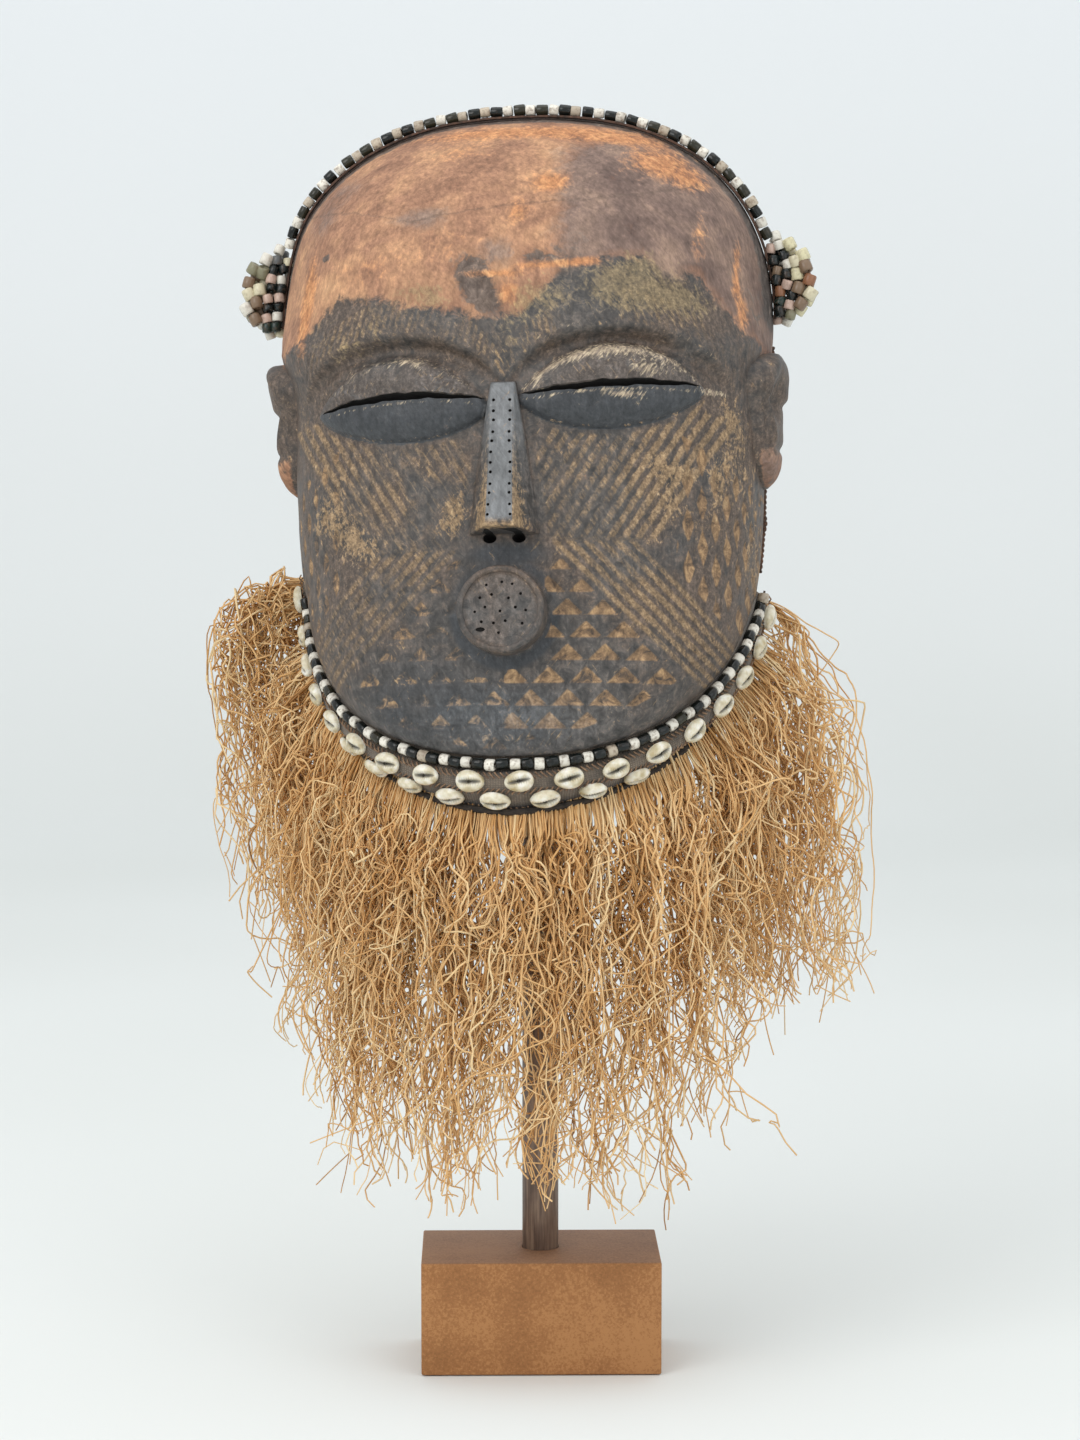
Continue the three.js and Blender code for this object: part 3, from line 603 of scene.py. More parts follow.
def new_tree(name, **sockets):
    """A geometry tree, the call that adds a node to it, and its named inputs."""
    if name in bpy.data.node_groups:
        bpy.data.node_groups.remove(bpy.data.node_groups[name])
    tree = bpy.data.node_groups.new(name, "GeometryNodeTree")
    for label, kind in {"Geometry": "Geometry", **sockets, "Material": "Material"}.items():
        tree.interface.new_socket(label, in_out="INPUT", socket_type=f"NodeSocket{kind}")
    tree.interface.new_socket("Geometry", in_out="OUTPUT", socket_type="NodeSocketGeometry")
    return tree, functools.partial(add_node, tree), tree.nodes.new("NodeGroupInput").outputs


def close_tree(tree, add, geometry, material):
    """Makes instances real, paints the result and ends the tree."""
    solid = add("GeometryNodeRealizeInstances", {0: geometry})
    painted = add("GeometryNodeSetMaterial", {"Geometry": solid, "Material": material})
    add("NodeGroupOutput", {0: painted})
    return tree


def grown(name, carrier, tree, **inputs):
    """The plain mesh that a geometry tree grows on a carrier mesh."""
    host = new_object(f"{name}_carrier", carrier)
    modifier = host.modifiers.new("grow", "NODES")
    modifier.node_group = tree
    for item in tree.interface.items_tree:
        if item.in_out == "INPUT" and item.name in inputs:
            modifier[item.identifier] = inputs[item.name]
    graph = bpy.context.evaluated_depsgraph_get()
    mesh = bpy.data.meshes.new_from_object(
        host.evaluated_get(graph), preserve_all_data_layers=True, depsgraph=graph
    )
    fresh(host.name)
    if not mesh.polygons:
        raise RuntimeError(f"nothing grew for {name}")
    mesh.name = name
    return mesh


def threading_tree():
    """Sets one unit piece, such as a bead, on each point of a carrier, turned along its run."""
    tree, add, given = new_tree(
        "threading", Unit="Object", Width="Float", Length="Float", Unevenness="Float", Seed="Int"
    )
    along, out, size = (
        add("GeometryNodeInputNamedAttribute", {0: name}, data_type="FLOAT_VECTOR")
        for name in ("along", "out", "size")
    )
    turn = add(
        "FunctionNodeAxesToRotation", {"Primary Axis": along, "Secondary Axis": out},
        primary_axis="Z", secondary_axis="X",
    )
    low, high = (
        add("ShaderNodeMath", {0: 1.0, 1: given["Unevenness"]}, operation=operation)
        for operation in ("SUBTRACT", "ADD")
    )
    chance = add(
        "FunctionNodeRandomValue", {0: low, 1: high, "Seed": given["Seed"]}, data_type="FLOAT_VECTOR"
    )
    scale = add("ShaderNodeCombineXYZ", {0: given["Width"], 1: given["Width"], 2: given["Length"]})
    for factor in (chance, size):
        scale = add("ShaderNodeVectorMath", {0: scale, 1: factor}, operation="MULTIPLY")
    unit_piece = add(
        "GeometryNodeObjectInfo", {"Object": given["Unit"]}, out="Geometry", transform_space="ORIGINAL"
    )
    spread = add(
        "GeometryNodeInstanceOnPoints",
        {"Points": given["Geometry"], "Instance": unit_piece, "Rotation": turn, "Scale": scale},
    )
    return close_tree(tree, add, spread, given["Material"])


def fibre_tree():
    """Makes round strands along the carrier's lines, as thick as their girth says."""
    tree, add, given = new_tree("strands", Thickness="Float", Sides="Int")
    curve = add("GeometryNodeMeshToCurve", {0: given["Geometry"]})
    girth = add("GeometryNodeInputNamedAttribute", {0: "girth"}, data_type="FLOAT")
    half = add("ShaderNodeMath", {0: given["Thickness"], 1: 0.5}, operation="MULTIPLY")
    ring = add("GeometryNodeCurvePrimitiveCircle", {"Resolution": given["Sides"], "Radius": half})
    tube = add(
        "GeometryNodeCurveToMesh",
        {"Curve": curve, "Profile Curve": ring, "Scale": girth, "Fill Caps": True},
    )
    return close_tree(tree, add, tube, given["Material"])


def strands(name, lines, material, thickness, sides, girth=None, **extra):
    """A mesh of strands along lines of points in metres. Extra attributes ride along."""
    lines = np.asarray(lines, float)
    count, steps = lines.shape[:2]
    first = (np.arange(count) * steps)[:, None] + np.arange(steps - 1)
    edges = np.stack([first.ravel(), first.ravel() + 1], axis=1)
    carrier = new_mesh(name, lines.reshape(-1, 3), edges=edges.tolist())
    extra["girth"] = np.ones((count, steps)) if girth is None else girth
    give(carrier, **{key: value.ravel() for key, value in extra.items()})
    return grown(name, carrier, fibre_tree(), Thickness=thickness * MM, Sides=sides, Material=material)


# Materials


def carved_hardwood():
    """Knife-carved hardwood: soot and oil below, rubbed red earth above, raw wood where it is worn.

    The eye sees a dark bluish-brown sheen, powdery orange on the forehead, and ochre in the cuts. Painted
    light and shade lie on it too: a pale sheen on the nose and chin, near black in the holes, shade under
    the nose.
    """
    material, add, spot = new_material("carved_hardwood")
    # Object coordinates turned into millimetres of the mask's frame
    back = Matrix(POSE.tolist()).transposed()
    spot = add(
        "ShaderNodeMapping",
        {
            "Vector": spot, "Location": -(back @ Vector(SEAT)), "Rotation": back.to_euler("XYZ"),
            "Scale": (1 / MM, 1 / MM, 1 / MM),
        },
    )
    layer = {
        name: add("ShaderNodeAttribute", out="Fac", attribute_name=name) for name in FACE_LAYERS
    }
    # The grain runs up the face and the scratches lie aslant, so both are drawn long.
    ways = {"plain": spot}
    for name, slant, length in (("fibre", 0.0, 6.0), ("scratch", 38.0, 9.0), ("nick", -35.0, 7.0)):
        ways[name] = add(
            "ShaderNodeMapping",
            {"Vector": spot, "Rotation": (0.0, math.radians(slant), 0.0), "Scale": (1.0, 1.0, length)},
            vector_type="TEXTURE",
        )
    # Each noise: its way, its size in mm, its detail, its roughness and its distortion
    noise = {
        name: add(
            "ShaderNodeTexNoise",
            {
                "Vector": ways[way], "Scale": 1 / size, "Detail": detail, "Roughness": rough,
                "Distortion": bend,
            },
        )
        for name, way, size, detail, rough, bend in (
            ("clouds", "plain", 30.0, 4.0, 0.6, 0.4),
            ("flecks", "plain", 5.5, 6.0, 0.7, 0.7),
            ("dust", "plain", 1.6, 4.0, 0.7, 0.0),
            ("streaks", "fibre", 2.4, 4.0, 0.65, 0.2),
            ("scratches", "scratch", 1.1, 3.0, 0.6, 0.3),
            ("nicks", "nick", 1.4, 3.0, 0.6, 0.5),
        )
    }
    paint = {
        name: add("ShaderNodeValToRGB", {0: noise[way]}, stops)
        for name, way, *stops in (
            ("ground", "flecks", (0.3, "#383736"), (0.5, "#524e4b"), (0.72, "#766d66")),
            ("umber", "dust", (0.3, "#43392f"), (0.5, "#5c4e44"), (0.7, "#806e60")),
            # Dark bluish coat: on the lids and the chin, and painted shade under the nose and round the
            # plug.
            ("slate", "dust", (0.25, "#2c3034"), (0.75, "#46494d")),
            # Pale coat: the upper lids and the plug's face, and a painted highlight on the nose's ridge and
            # left flank and a painted sheen on the chin.
            ("grey", "clouds", (0.3, "#6c6e6f"), (0.7, "#87898b")),
            ("earth", "clouds", (0.3, "#8c6650"), (0.45, "#a47a60"), (0.58, "#b98c6b"), (0.72, "#c99c75")),
            ("mauve", "clouds", (0.3, "#63524c"), (0.5, "#7f6a60"), (0.7, "#9f8574")),
            ("orange", "flecks", (0.3, "#ad7149"), (0.5, "#c98b5c"), (0.7, "#dba36f")),
            ("wood", "dust", (0.3, "#61503f"), (0.45, "#8a7256"), (0.58, "#a68b69"), (0.75, "#bfa682")),
            ("chip", "flecks", (0.32, "#57473a"), (0.5, "#8d7154"), (0.66, "#b5946c")),
            ("smear", "dust", (0.3, "#5c5140"), (0.5, "#8d7b5a"), (0.7, "#ac976e")),
            ("pale", "scratches", (0.3, "#85776a"), (0.5, "#a6947e"), (0.65, "#ccba9c")),
            ("lining", "streaks", (0.3, "#4a3324"), (0.7, "#76543a")),
            # Near black: painted shade in the pits, the nostrils, the eye slits and other sunk places.
            ("deep", "dust", (0.3, "#0d0b0a"), (0.7, "#16120f")),
        )
    }
    # Masks: an attribute, two noises that fray its border and how much, the border's two ends, the most
    mask = {}
    for name, source, first, much, second, more, low, high, most in (
        ("umber", "umber", "clouds", 2.2, "flecks", 1.6, 0.15, 0.9, 0.9),
        ("slate", "slate", "clouds", 0.9, "flecks", 0.6, 0.2, 0.8, 0.92),
        ("grey", "grey", "flecks", 0.5, "dust", 0.4, 0.15, 0.9, 0.9),
        ("line", "line_show", "clouds", 1.5, "nicks", 1.6, 0.2, 1.0, 0.85),
        ("chips", "chip_show", "flecks", 2.2, "clouds", 0.9, 0.2, 0.8, 0.95),
        ("worn", "worn", "flecks", 2.4, "nicks", 1.4, 0.62, 0.9, 0.85),
        ("worn_dust", "worn", "dust", 1.8, "scratches", 1.8, 0.8, 1.1, 0.8),
        ("scratch", "scratch", "scratches", 2.6, "clouds", 1.0, 0.78, 1.05, 0.55),
        ("nick", "scratch", "nicks", 2.6, "flecks", 1.0, 0.85, 1.1, 0.55),
        ("earth", "earth", "clouds", 0.5, "flecks", 1.0, 0.34, 0.66, 1.0),
        ("mauve", "mauve", "clouds", 1.4, "flecks", 0.7, 0.25, 0.75, 0.95),
        ("orange", "orange", "flecks", 1.8, "streaks", 1.0, 0.3, 1.15, 0.85),
        ("smear", "smear", "flecks", 2.6, "nicks", 1.6, 0.45, 1.05, 0.62),
        ("dark", "dark", "flecks", 1.6, "clouds", 0.8, 0.4, 0.75, 0.85),
        ("pale", "pale", "scratches", 1.8, "flecks", 1.0, 0.4, 0.95, 0.95),
        ("lining", "lining", "dust", 0.0, "dust", 0.0, 0.4, 0.6, 1.0),
        ("deep", "deep", "dust", 0.2, "dust", 0.0, 0.3, 0.6, 1.0),
    ):
        value = layer[source]
        for way, fray in ((first, much), (second, more)):
            value = add("ShaderNodeMath", {0: noise[way], 1: fray, 2: value}, operation="MULTIPLY_ADD")
        middle = (much + more) / 2
        mask[name] = add(
            "ShaderNodeMapRange",
            {"Value": value, "From Min": low + middle, "From Max": high + middle, "To Max": most},
            interpolation_type="SMOOTHSTEP",
        )
    # The lines and chips keep to their borders, which are distances in mm, a little ragged.
    bent = add("ShaderNodeMath", {0: noise["flecks"], 1: 0.5, 2: layer["stripe"]}, operation="MULTIPLY_ADD")
    line = add("ShaderNodeMath", {0: bent, 1: 0.5}, operation="PINGPONG")
    for name, value, low, high in (
        ("line", line, 0.16, 0.3), ("line", layer["lined"], -0.5, 1.0), ("chips", layer["chips"], -0.2, 0.5),
    ):
        inside = add("ShaderNodeMapRange", {"Value": value, "From Min": low, "From Max": high})
        mask[name] = add("ShaderNodeMath", {0: mask[name], 1: inside}, operation="MULTIPLY")
    # The crack across the forehead is the place where its distance passes through 0.
    frayed = add("ShaderNodeMath", {0: noise["flecks"], 1: 6.0, 2: layer["crack"]}, operation="MULTIPLY_ADD")
    away = add("ShaderNodeMath", {0: frayed, 1: 3.0}, operation="SUBTRACT")
    away = add("ShaderNodeMath", {0: away}, operation="ABSOLUTE")
    mask["crack"] = add(
        "ShaderNodeMapRange",
        {"Value": away, "From Min": 0.2, "From Max": 0.9, "To Min": 0.32, "To Max": 0.0},
    )
    colour = paint["ground"]
    for amount, coat in (
        ("umber", "umber"), ("slate", "slate"), ("line", "wood"), ("chips", "chip"), ("worn", "wood"),
        ("worn_dust", "wood"), ("earth", "earth"), ("mauve", "mauve"), ("dark", "ground"),
        ("orange", "orange"), ("smear", "smear"), ("crack", "umber"), ("grey", "grey"),
        ("scratch", "wood"), ("nick", "wood"), ("pale", "pale"), ("lining", "lining"), ("deep", "deep"),
    ):
        colour = add(
            "ShaderNodeMix", {0: mask[amount], 6: colour, 7: paint[coat]}, out=2, data_type="RGBA"
        )
    # Rubbing has lightened and darkened every coat along the grain and the scratches.
    for way, low, high in (("streaks", 0.72, 1.2), ("flecks", 0.78, 1.2), ("nicks", 0.84, 1.14)):
        veil = add(
            "ShaderNodeMapRange",
            {"Value": noise[way], "From Min": 0.32, "From Max": 0.68, "To Min": low, "To Max": high},
        )
        colour = add("ShaderNodeVectorMath", {0: colour, "Scale": veil}, operation="SCALE")
    rough = add(
        "ShaderNodeMapRange",
        {"Value": noise["flecks"], "From Min": 0.3, "From Max": 0.7, "To Min": 0.46, "To Max": 0.64},
    )
    for amount, value in (
        ("slate", 0.4), ("line", 0.7), ("chips", 0.74), ("worn", 0.68), ("earth", 0.8), ("grey", 0.36),
        ("deep", 0.9),
    ):
        rough = add("ShaderNodeMix", {0: mask[amount], 2: rough, 3: value})
    links = {}
    for way, height in (("dust", 0.22), ("streaks", 0.3), ("flecks", 0.35), ("nicks", 0.2)):
        links.update({"Height": noise[way], "Distance": height * MM, "Strength": 0.6})
        links["Normal"] = add("ShaderNodeBump", links)
    return surfaced(
        material, Base_Color=colour, Roughness=rough, Normal=links["Normal"], Specular_IOR_Level=0.45
    )


def drawn_glass():
    """Short beads cut from drawn glass rod: a wet gloss on the dark ones, chalk on the white ones."""
    material, add, spot = new_material("drawn_glass_beads")
    tint = add("ShaderNodeAttribute", out="Color", attribute_name="tint")
    chalk = add("ShaderNodeAttribute", out="Fac", attribute_name="chalk")
    # Dirt gathers in spots of about 2 mm, on the white beads more than on the dark ones.
    dirt = add("ShaderNodeTexNoise", {"Vector": spot, "Scale": 500.0, "Detail": 3.0})
    most = add("ShaderNodeMapRange", {"Value": chalk, "To Min": 0.1, "To Max": 0.7})
    stain = add("ShaderNodeMapRange", {"Value": dirt, "From Min": 0.48, "From Max": 0.7, "To Max": most})
    colour = add("ShaderNodeMix", {0: stain, 6: tint, 7: linear("#6b5340")}, out=2, data_type="RGBA")
    rough = add("ShaderNodeMapRange", {"Value": chalk, "To Min": 0.12, "To Max": 0.45})
    bump = add("ShaderNodeBump", {"Height": dirt, "Distance": 0.15 * MM, "Strength": 0.5})
    return surfaced(
        material, Base_Color=colour, Roughness=rough, Normal=bump, IOR=1.5,
        Specular_IOR_Level=0.35, Coat_Weight=0.12, Coat_Roughness=0.1,
    )


def cowrie_shell():
    """Polished cowrie: porcelain gloss, cream, with painted shade, dark brown, in the slit where the teeth
    meet.
    """
    material, add, spot = new_material("cowrie_shell")
    slit = add("ShaderNodeAttribute", out="Fac", attribute_name="slit")
    # Yellow patches of about 5 mm
    cloud = add("ShaderNodeTexNoise", {"Vector": spot, "Scale": 200.0, "Detail": 3.0})
    cream = add("ShaderNodeValToRGB", {0: cloud}, ((0.3, "#b9a982"), (0.5, "#dcd3ba"), (0.66, "#f0ecdf")))
    colour = add("ShaderNodeMix", {0: slit, 6: cream, 7: linear("#3b352a")}, out=2, data_type="RGBA")
    bump = add("ShaderNodeBump", {"Height": cloud, "Distance": 0.1 * MM, "Strength": 0.4})
    return surfaced(
        material, Base_Color=colour, Roughness=0.3, Normal=bump, IOR=1.53,
        Subsurface_Weight=0.08, Subsurface_Radius=(0.003, 0.002, 0.001),
    )


def sewn_cotton(name, dark, light, thread):
    """Plain-woven cotton, brown with camwood and oil: matt, with threads that catch the light."""
    material, add, spot = new_material(name)
    cloth = add("ShaderNodeUVMap", uv_map="weave")
    # One band of the wave for each thread
    warp, weft = (
        add(
            "ShaderNodeTexWave", {"Vector": cloth, "Scale": 1 / (thread * 3.1416), "Distortion": 0.6},
            out="Fac", bands_direction=way,
        )
        for way in ("X", "Y")
    )
    weave = add("ShaderNodeMath", {0: warp, 1: weft}, operation="MULTIPLY")
    stains = add("ShaderNodeTexNoise", {"Vector": spot, "Scale": 110.0, "Detail": 5.0, "Roughness": 0.65})
    colour = add("ShaderNodeValToRGB", {0: stains}, ((0.32, dark), (0.68, light)))
    # Painted shade: the cloth is darker down between the threads.
    deep = add("ShaderNodeMapRange", {"Value": weave, "From Max": 0.6, "To Min": 0.55, "To Max": 0.0})
    hem = add("ShaderNodeAttribute", out="Fac", attribute_name="hem")
    for amount, shade in ((deep, dark), (hem, "#241d19")):
        colour = add("ShaderNodeMix", {0: amount, 6: colour, 7: linear(shade)}, out=2, data_type="RGBA")
    bump = add("ShaderNodeBump", {"Height": weave, "Distance": 0.3 * MM, "Strength": 0.8})
    return surfaced(
        material, Base_Color=colour, Roughness=0.9, Normal=bump, Sheen_Weight=0.25, Sheen_Roughness=0.5
    )


def twisted_fibre(name, dark, light):
    """Spun plant fibre: matt strands, darker where they have been handled."""
    material, add, spot = new_material(name)
    cloud = add("ShaderNodeTexNoise", {"Vector": spot, "Scale": 320.0, "Detail": 4.0, "Roughness": 0.65})
    colour = add("ShaderNodeValToRGB", {0: cloud}, ((0.35, dark), (0.66, light)))
    bump = add("ShaderNodeBump", {"Height": cloud, "Distance": 0.25 * MM, "Strength": 0.7})
    return surfaced(material, Base_Color=colour, Roughness=0.82, Normal=bump)


def raffia_fibre():
    """Split palm leaf: straw gold, each strand its own shade, browner toward the root."""
    material, add, spot = new_material("raffia_fibre")
    tone = add("ShaderNodeAttribute", out="Fac", attribute_name="tone")
    cloud = add("ShaderNodeTexNoise", {"Vector": spot, "Scale": 60.0, "Detail": 3.0})
    shade = add("ShaderNodeMath", {0: cloud, 1: 0.5, 2: tone}, operation="MULTIPLY_ADD")
    colour = add(
        "ShaderNodeValToRGB", {0: shade},
        ((0.25, "#9d6f3c"), (0.5, "#d6a467"), (0.75, "#e9c088"), (1.0, "#f2d6a6")),
    )
    return surfaced(material, Base_Color=colour, Roughness=0.62, Specular_IOR_Level=0.4)


def stained_dowel():
    """A hardwood dowel, stained and waxed: brown with long grain and a dull shine."""
    material, add, spot = new_material("stained_dowel")
    long = add("ShaderNodeMapping", {"Vector": spot, "Scale": (1.0, 1.0, 0.06)})
    grain = add("ShaderNodeTexNoise", {"Vector": long, "Scale": 700.0, "Detail": 5.0, "Roughness": 0.6})
    patch = add("ShaderNodeTexNoise", {"Vector": spot, "Scale": 45.0, "Detail": 4.0})
    both = add("ShaderNodeMath", {0: patch, 1: 0.5, 2: grain}, operation="MULTIPLY_ADD")
    colour = add("ShaderNodeValToRGB", {0: both}, ((0.55, "#4b3c32"), (0.75, "#6b574a"), (0.95, "#8a7461")))
    bump = add("ShaderNodeBump", {"Height": grain, "Distance": 0.2 * MM, "Strength": 0.5})
    return surfaced(material, Base_Color=colour, Roughness=0.45, Normal=bump)


def fibreboard():
    """Raw fibreboard, oiled: even ginger brown with short flecks, darker on the cut top."""
    material, add, spot = new_material("oiled_fibreboard")
    flecks = add("ShaderNodeTexNoise", {"Vector": spot, "Scale": 900.0, "Detail": 3.0, "Roughness": 0.7})
    cloud = add("ShaderNodeTexNoise", {"Vector": spot, "Scale": 28.0, "Detail": 4.0})
    both = add("ShaderNodeMath", {0: cloud, 1: 0.8, 2: flecks}, operation="MULTIPLY_ADD")
    side = add("ShaderNodeValToRGB", {0: both}, ((0.6, "#84572c"), (0.9, "#9b683a"), (1.15, "#ab7847")))
    dark = add("ShaderNodeValToRGB", {0: both}, ((0.6, "#76533a"), (1.1, "#956f50")))
    normal = add("ShaderNodeNewGeometry", out="Normal")
    up = add("ShaderNodeSeparateXYZ", {0: normal}, out="Z")
    top = add("ShaderNodeMapRange", {"Value": up, "From Min": 0.4, "From Max": 0.9})
    colour = add("ShaderNodeMix", {0: top, 6: side, 7: dark}, out=2, data_type="RGBA")
    bump = add("ShaderNodeBump", {"Height": flecks, "Distance": 0.12 * MM, "Strength": 0.5})
    return surfaced(material, Base_Color=colour, Roughness=0.7, Normal=bump)


def painted_backdrop():
    """Smooth matt paint: pale, a touch cool."""
    material, add, spot = new_material("matt_backdrop")
    cloud = add("ShaderNodeTexNoise", {"Vector": spot, "Scale": 1.2, "Detail": 1.0})
    colour = add("ShaderNodeValToRGB", {0: cloud}, ((0.3, "#e3e6e3"), (0.7, "#e9ecea")))
    # Painted light: the paint gets paler up the wall, where less light reaches it.
    height = add("ShaderNodeSeparateXYZ", {0: spot}, out="Z")
    up = add("ShaderNodeMapRange", {"Value": height, "From Max": 1.2})
    colour = add("ShaderNodeMix", {0: up, 6: colour, 7: linear("#f7fafc")}, out=2, data_type="RGBA")
    return surfaced(material, Base_Color=colour, Roughness=0.9, Specular_IOR_Level=0.1)


# Settings


class FaceSettings(bpy.types.PropertyGroup):
    cells: bpy.props.IntProperty(
        name="Cells", description="Cells across the carved face", default=230, min=60, max=236
    )
    groove: bpy.props.FloatProperty(
        name="Carving", description="Depth of the cut lines", default=0.55 * MM, min=0.0, unit="LENGTH"
    )


class BeadSettings(bpy.types.PropertyGroup):
    dark_length: bpy.props.FloatProperty(
        name="Dark length", description="Length of a dark bead", default=6.4 * MM, unit="LENGTH"
    )
    white_length: bpy.props.FloatProperty(
        name="White length", description="Length of a white bead", default=5.3 * MM, unit="LENGTH"
    )
    radius: bpy.props.FloatProperty(
        name="Radius", description="Radius of a string bead", default=2.9 * MM, unit="LENGTH"
    )
    dark: bpy.props.FloatVectorProperty(
        name="Dark glass", description="Colour of the dark beads", subtype="COLOR", size=4,
        default=linear("#0e1514"), min=0, max=1,
    )
    white: bpy.props.FloatVectorProperty(
        name="White glass", description="Colour of the white beads", subtype="COLOR", size=4,
        default=linear("#ece7da"), min=0, max=1,
    )


class CollarSettings(bpy.types.PropertyGroup):
    wrinkle: bpy.props.FloatProperty(
        name="Wrinkles", description="Height of the cloth's wrinkles", default=0.5 * MM, unit="LENGTH"
    )
    thread: bpy.props.FloatProperty(
        name="Thread", description="Thickness of the sewing thread", default=0.8 * MM, unit="LENGTH"
    )


class BeardSettings(bpy.types.PropertyGroup):
    fibres: bpy.props.IntProperty(
        name="Fibres", description="Number of raffia fibres", default=1400, min=100, max=1800
    )
    thickness: bpy.props.FloatProperty(
        name="Thickness", description="Thickness of a fibre", default=1.15 * MM, unit="LENGTH"
    )


class StageSettings(bpy.types.PropertyGroup):
    light: bpy.props.FloatProperty(
        name="Light", description="Strength of the studio light", default=1.0, min=0.1, max=4.0
    )


class MaskSettings(bpy.types.PropertyGroup):
    face: bpy.props.PointerProperty(type=FaceSettings)
    beads: bpy.props.PointerProperty(type=BeadSettings)
    collar: bpy.props.PointerProperty(type=CollarSettings)
    beard: bpy.props.PointerProperty(type=BeardSettings)
    stage: bpy.props.PointerProperty(type=StageSettings)


# The face


def even_spread(count):
    """Grid lines from -1 to 1, closer in the middle, where the carving is fine."""
    s = np.linspace(-1, 1, count + 1)
    return 0.62 * s + 0.38 * s**3


def bent_grid(columns, rows, inset):
    """A square grid bent to the face's outline, with the surface's normals."""
    s, t = np.meshgrid(even_spread(columns), even_spread(rows))
    x, y = s * np.sqrt(1 - t * t / 2), t * np.sqrt(1 - s * s / 2)
    rho, alpha = np.minimum(1, np.hypot(x, y)).ravel(), np.arctan2(y, x).ravel()
    normal = face_normal(rho, alpha)
    return face_point(rho, alpha) - inset * normal, normal, rho


def grid_border(columns, rows, first):
    """The border of a grid of points, once round."""
    side = columns + 1
    last = (rows + 1) * side - 1
    turns = (
        range(columns),
        range(columns, last, side),
        range(last, last - columns, -1),
        range(last - columns, 0, -side),
    )
    return [first + k for turn in turns for k in turn]


# Cells up the face for each one across it
CELLS_UP = 1.26


def carved_shell(cells, groove):
    """The hollow face: a fine carved outside, a gouged inside and the edge between."""
    columns, rows = 2 * (cells // 2), 2 * round(cells * CELLS_UP / 2)
    outer, normal, rho = bent_grid(columns, rows, 0)
    u, v = outer[:, 0], outer[:, 2]
    girth = np.interp(u, *GIRTH)
    # The edge itself stays plain. The surface has the soft lumps of hand work.
    fade = smooth(1 - rho, 0.0, 0.04)
    height = relief(u, v, girth, groove) * fade
    height += (0.3 * mottle(outer, 17, 1) + 0.12 * mottle(outer, 6, 2)) * fade
    outer = outer + normal * height[:, None]
    # The gouge marks of the inside run up and down.
    inner, back, _ = bent_grid(columns // 2, rows // 2, WALL)
    gouge = 0.5 * mottle(inner * np.array([1.0, 1.0, 0.45]), 9, 3)
    inner += back * gouge[:, None]
    points = np.concatenate([outer, inner])
    faces = grid_faces(rows + 1, columns + 1)
    faces += [face[::-1] for face in grid_faces(rows // 2 + 1, columns // 2 + 1, len(outer))]
    # The edge joins two cells of the outside to each cell of the inside.
    rim, lining = grid_border(columns, rows, 0), grid_border(columns // 2, rows // 2, len(outer))
    for k, here in enumerate(lining):
        start, half, end = rim[2 * k], rim[2 * k + 1], rim[(2 * k + 2) % len(rim)]
        after = lining[(k + 1) % len(lining)]
        faces += [(half, start, here), (half, here, after), (end, half, after)]
    return points, facing_out(points, faces)


def bevelled_hull(corners, width):
    """The rounded convex block around a few corners."""
    shape = bmesh.new()
    for corner in corners:
        shape.verts.new(corner)
    bmesh.ops.convex_hull(shape, input=shape.verts)
    bmesh.ops.dissolve_limit(shape, angle_limit=math.radians(2), verts=shape.verts, edges=shape.edges)
    bmesh.ops.bevel(
        shape, geom=shape.edges[:], offset=width, offset_type="OFFSET", segments=3, profile=0.5,
        affect="EDGES",
    )
    bmesh.ops.recalc_face_normals(shape, faces=shape.faces)
    points = np.array([tuple(vertex.co) for vertex in shape.verts])
    faces = [tuple(vertex.index for vertex in face.verts) for face in shape.faces]
    shape.free()
    return points, facing_out(points, faces)


def nose_block():
    """The nose: a wedge with a flat ridge that gets wider and deeper toward its foot."""
    root = DEPTH - WALL / 2
    return bevelled_hull(
        [
            corner
            for side in (-1, 1)
            for corner in (
                (side * NOSE["foot_half"], -root, NOSE["foot"]),
                (side * NOSE_RIDGE["foot_half"], -NOSE_RIDGE["foot_depth"], NOSE["foot"] + 2),
                (side * NOSE["top_half"], -root, NOSE["top"] + 3),
                (side * NOSE_RIDGE["top_half"], -NOSE_RIDGE["top_depth"], NOSE["top"]),
            )
        ],
        0.9,
    )


def mouth_plug():
    """A round plug with a rolled lip and a slightly sunk, uneven face."""
    root, front, radius = DEPTH - WALL / 2, MOUTH["front"], MOUTH["radius"]
    inner = radius - MOUTH["lip"]
    sunk = front - MOUTH["recess"]
    profile = [(radius - 0.5, root), (radius, root + 4), (radius + 0.2, front - 3)]
    profile += [
        (radius - 1.5 + 1.7 * math.cos(a), front - 1.5 + 1.5 * math.sin(a))
        for a in np.linspace(0.2, 2.4, 6)
    ]
    profile += [(inner, sunk + 0.3), (inner - 1.5, sunk)]
    profile += [(inner * 0.6, sunk + 0.3), (inner * 0.25, sunk + 0.4)]
    rings = np.array(
        [[(x, -depth, MOUTH["height"] + z) for x, z in circle(r, 72)] for r, depth in profile]
    )
    rings += 0.25 * mottle(rings.reshape(-1, 3), 5, 5).reshape(rings.shape[:2])[..., None]
    return loft(rings)


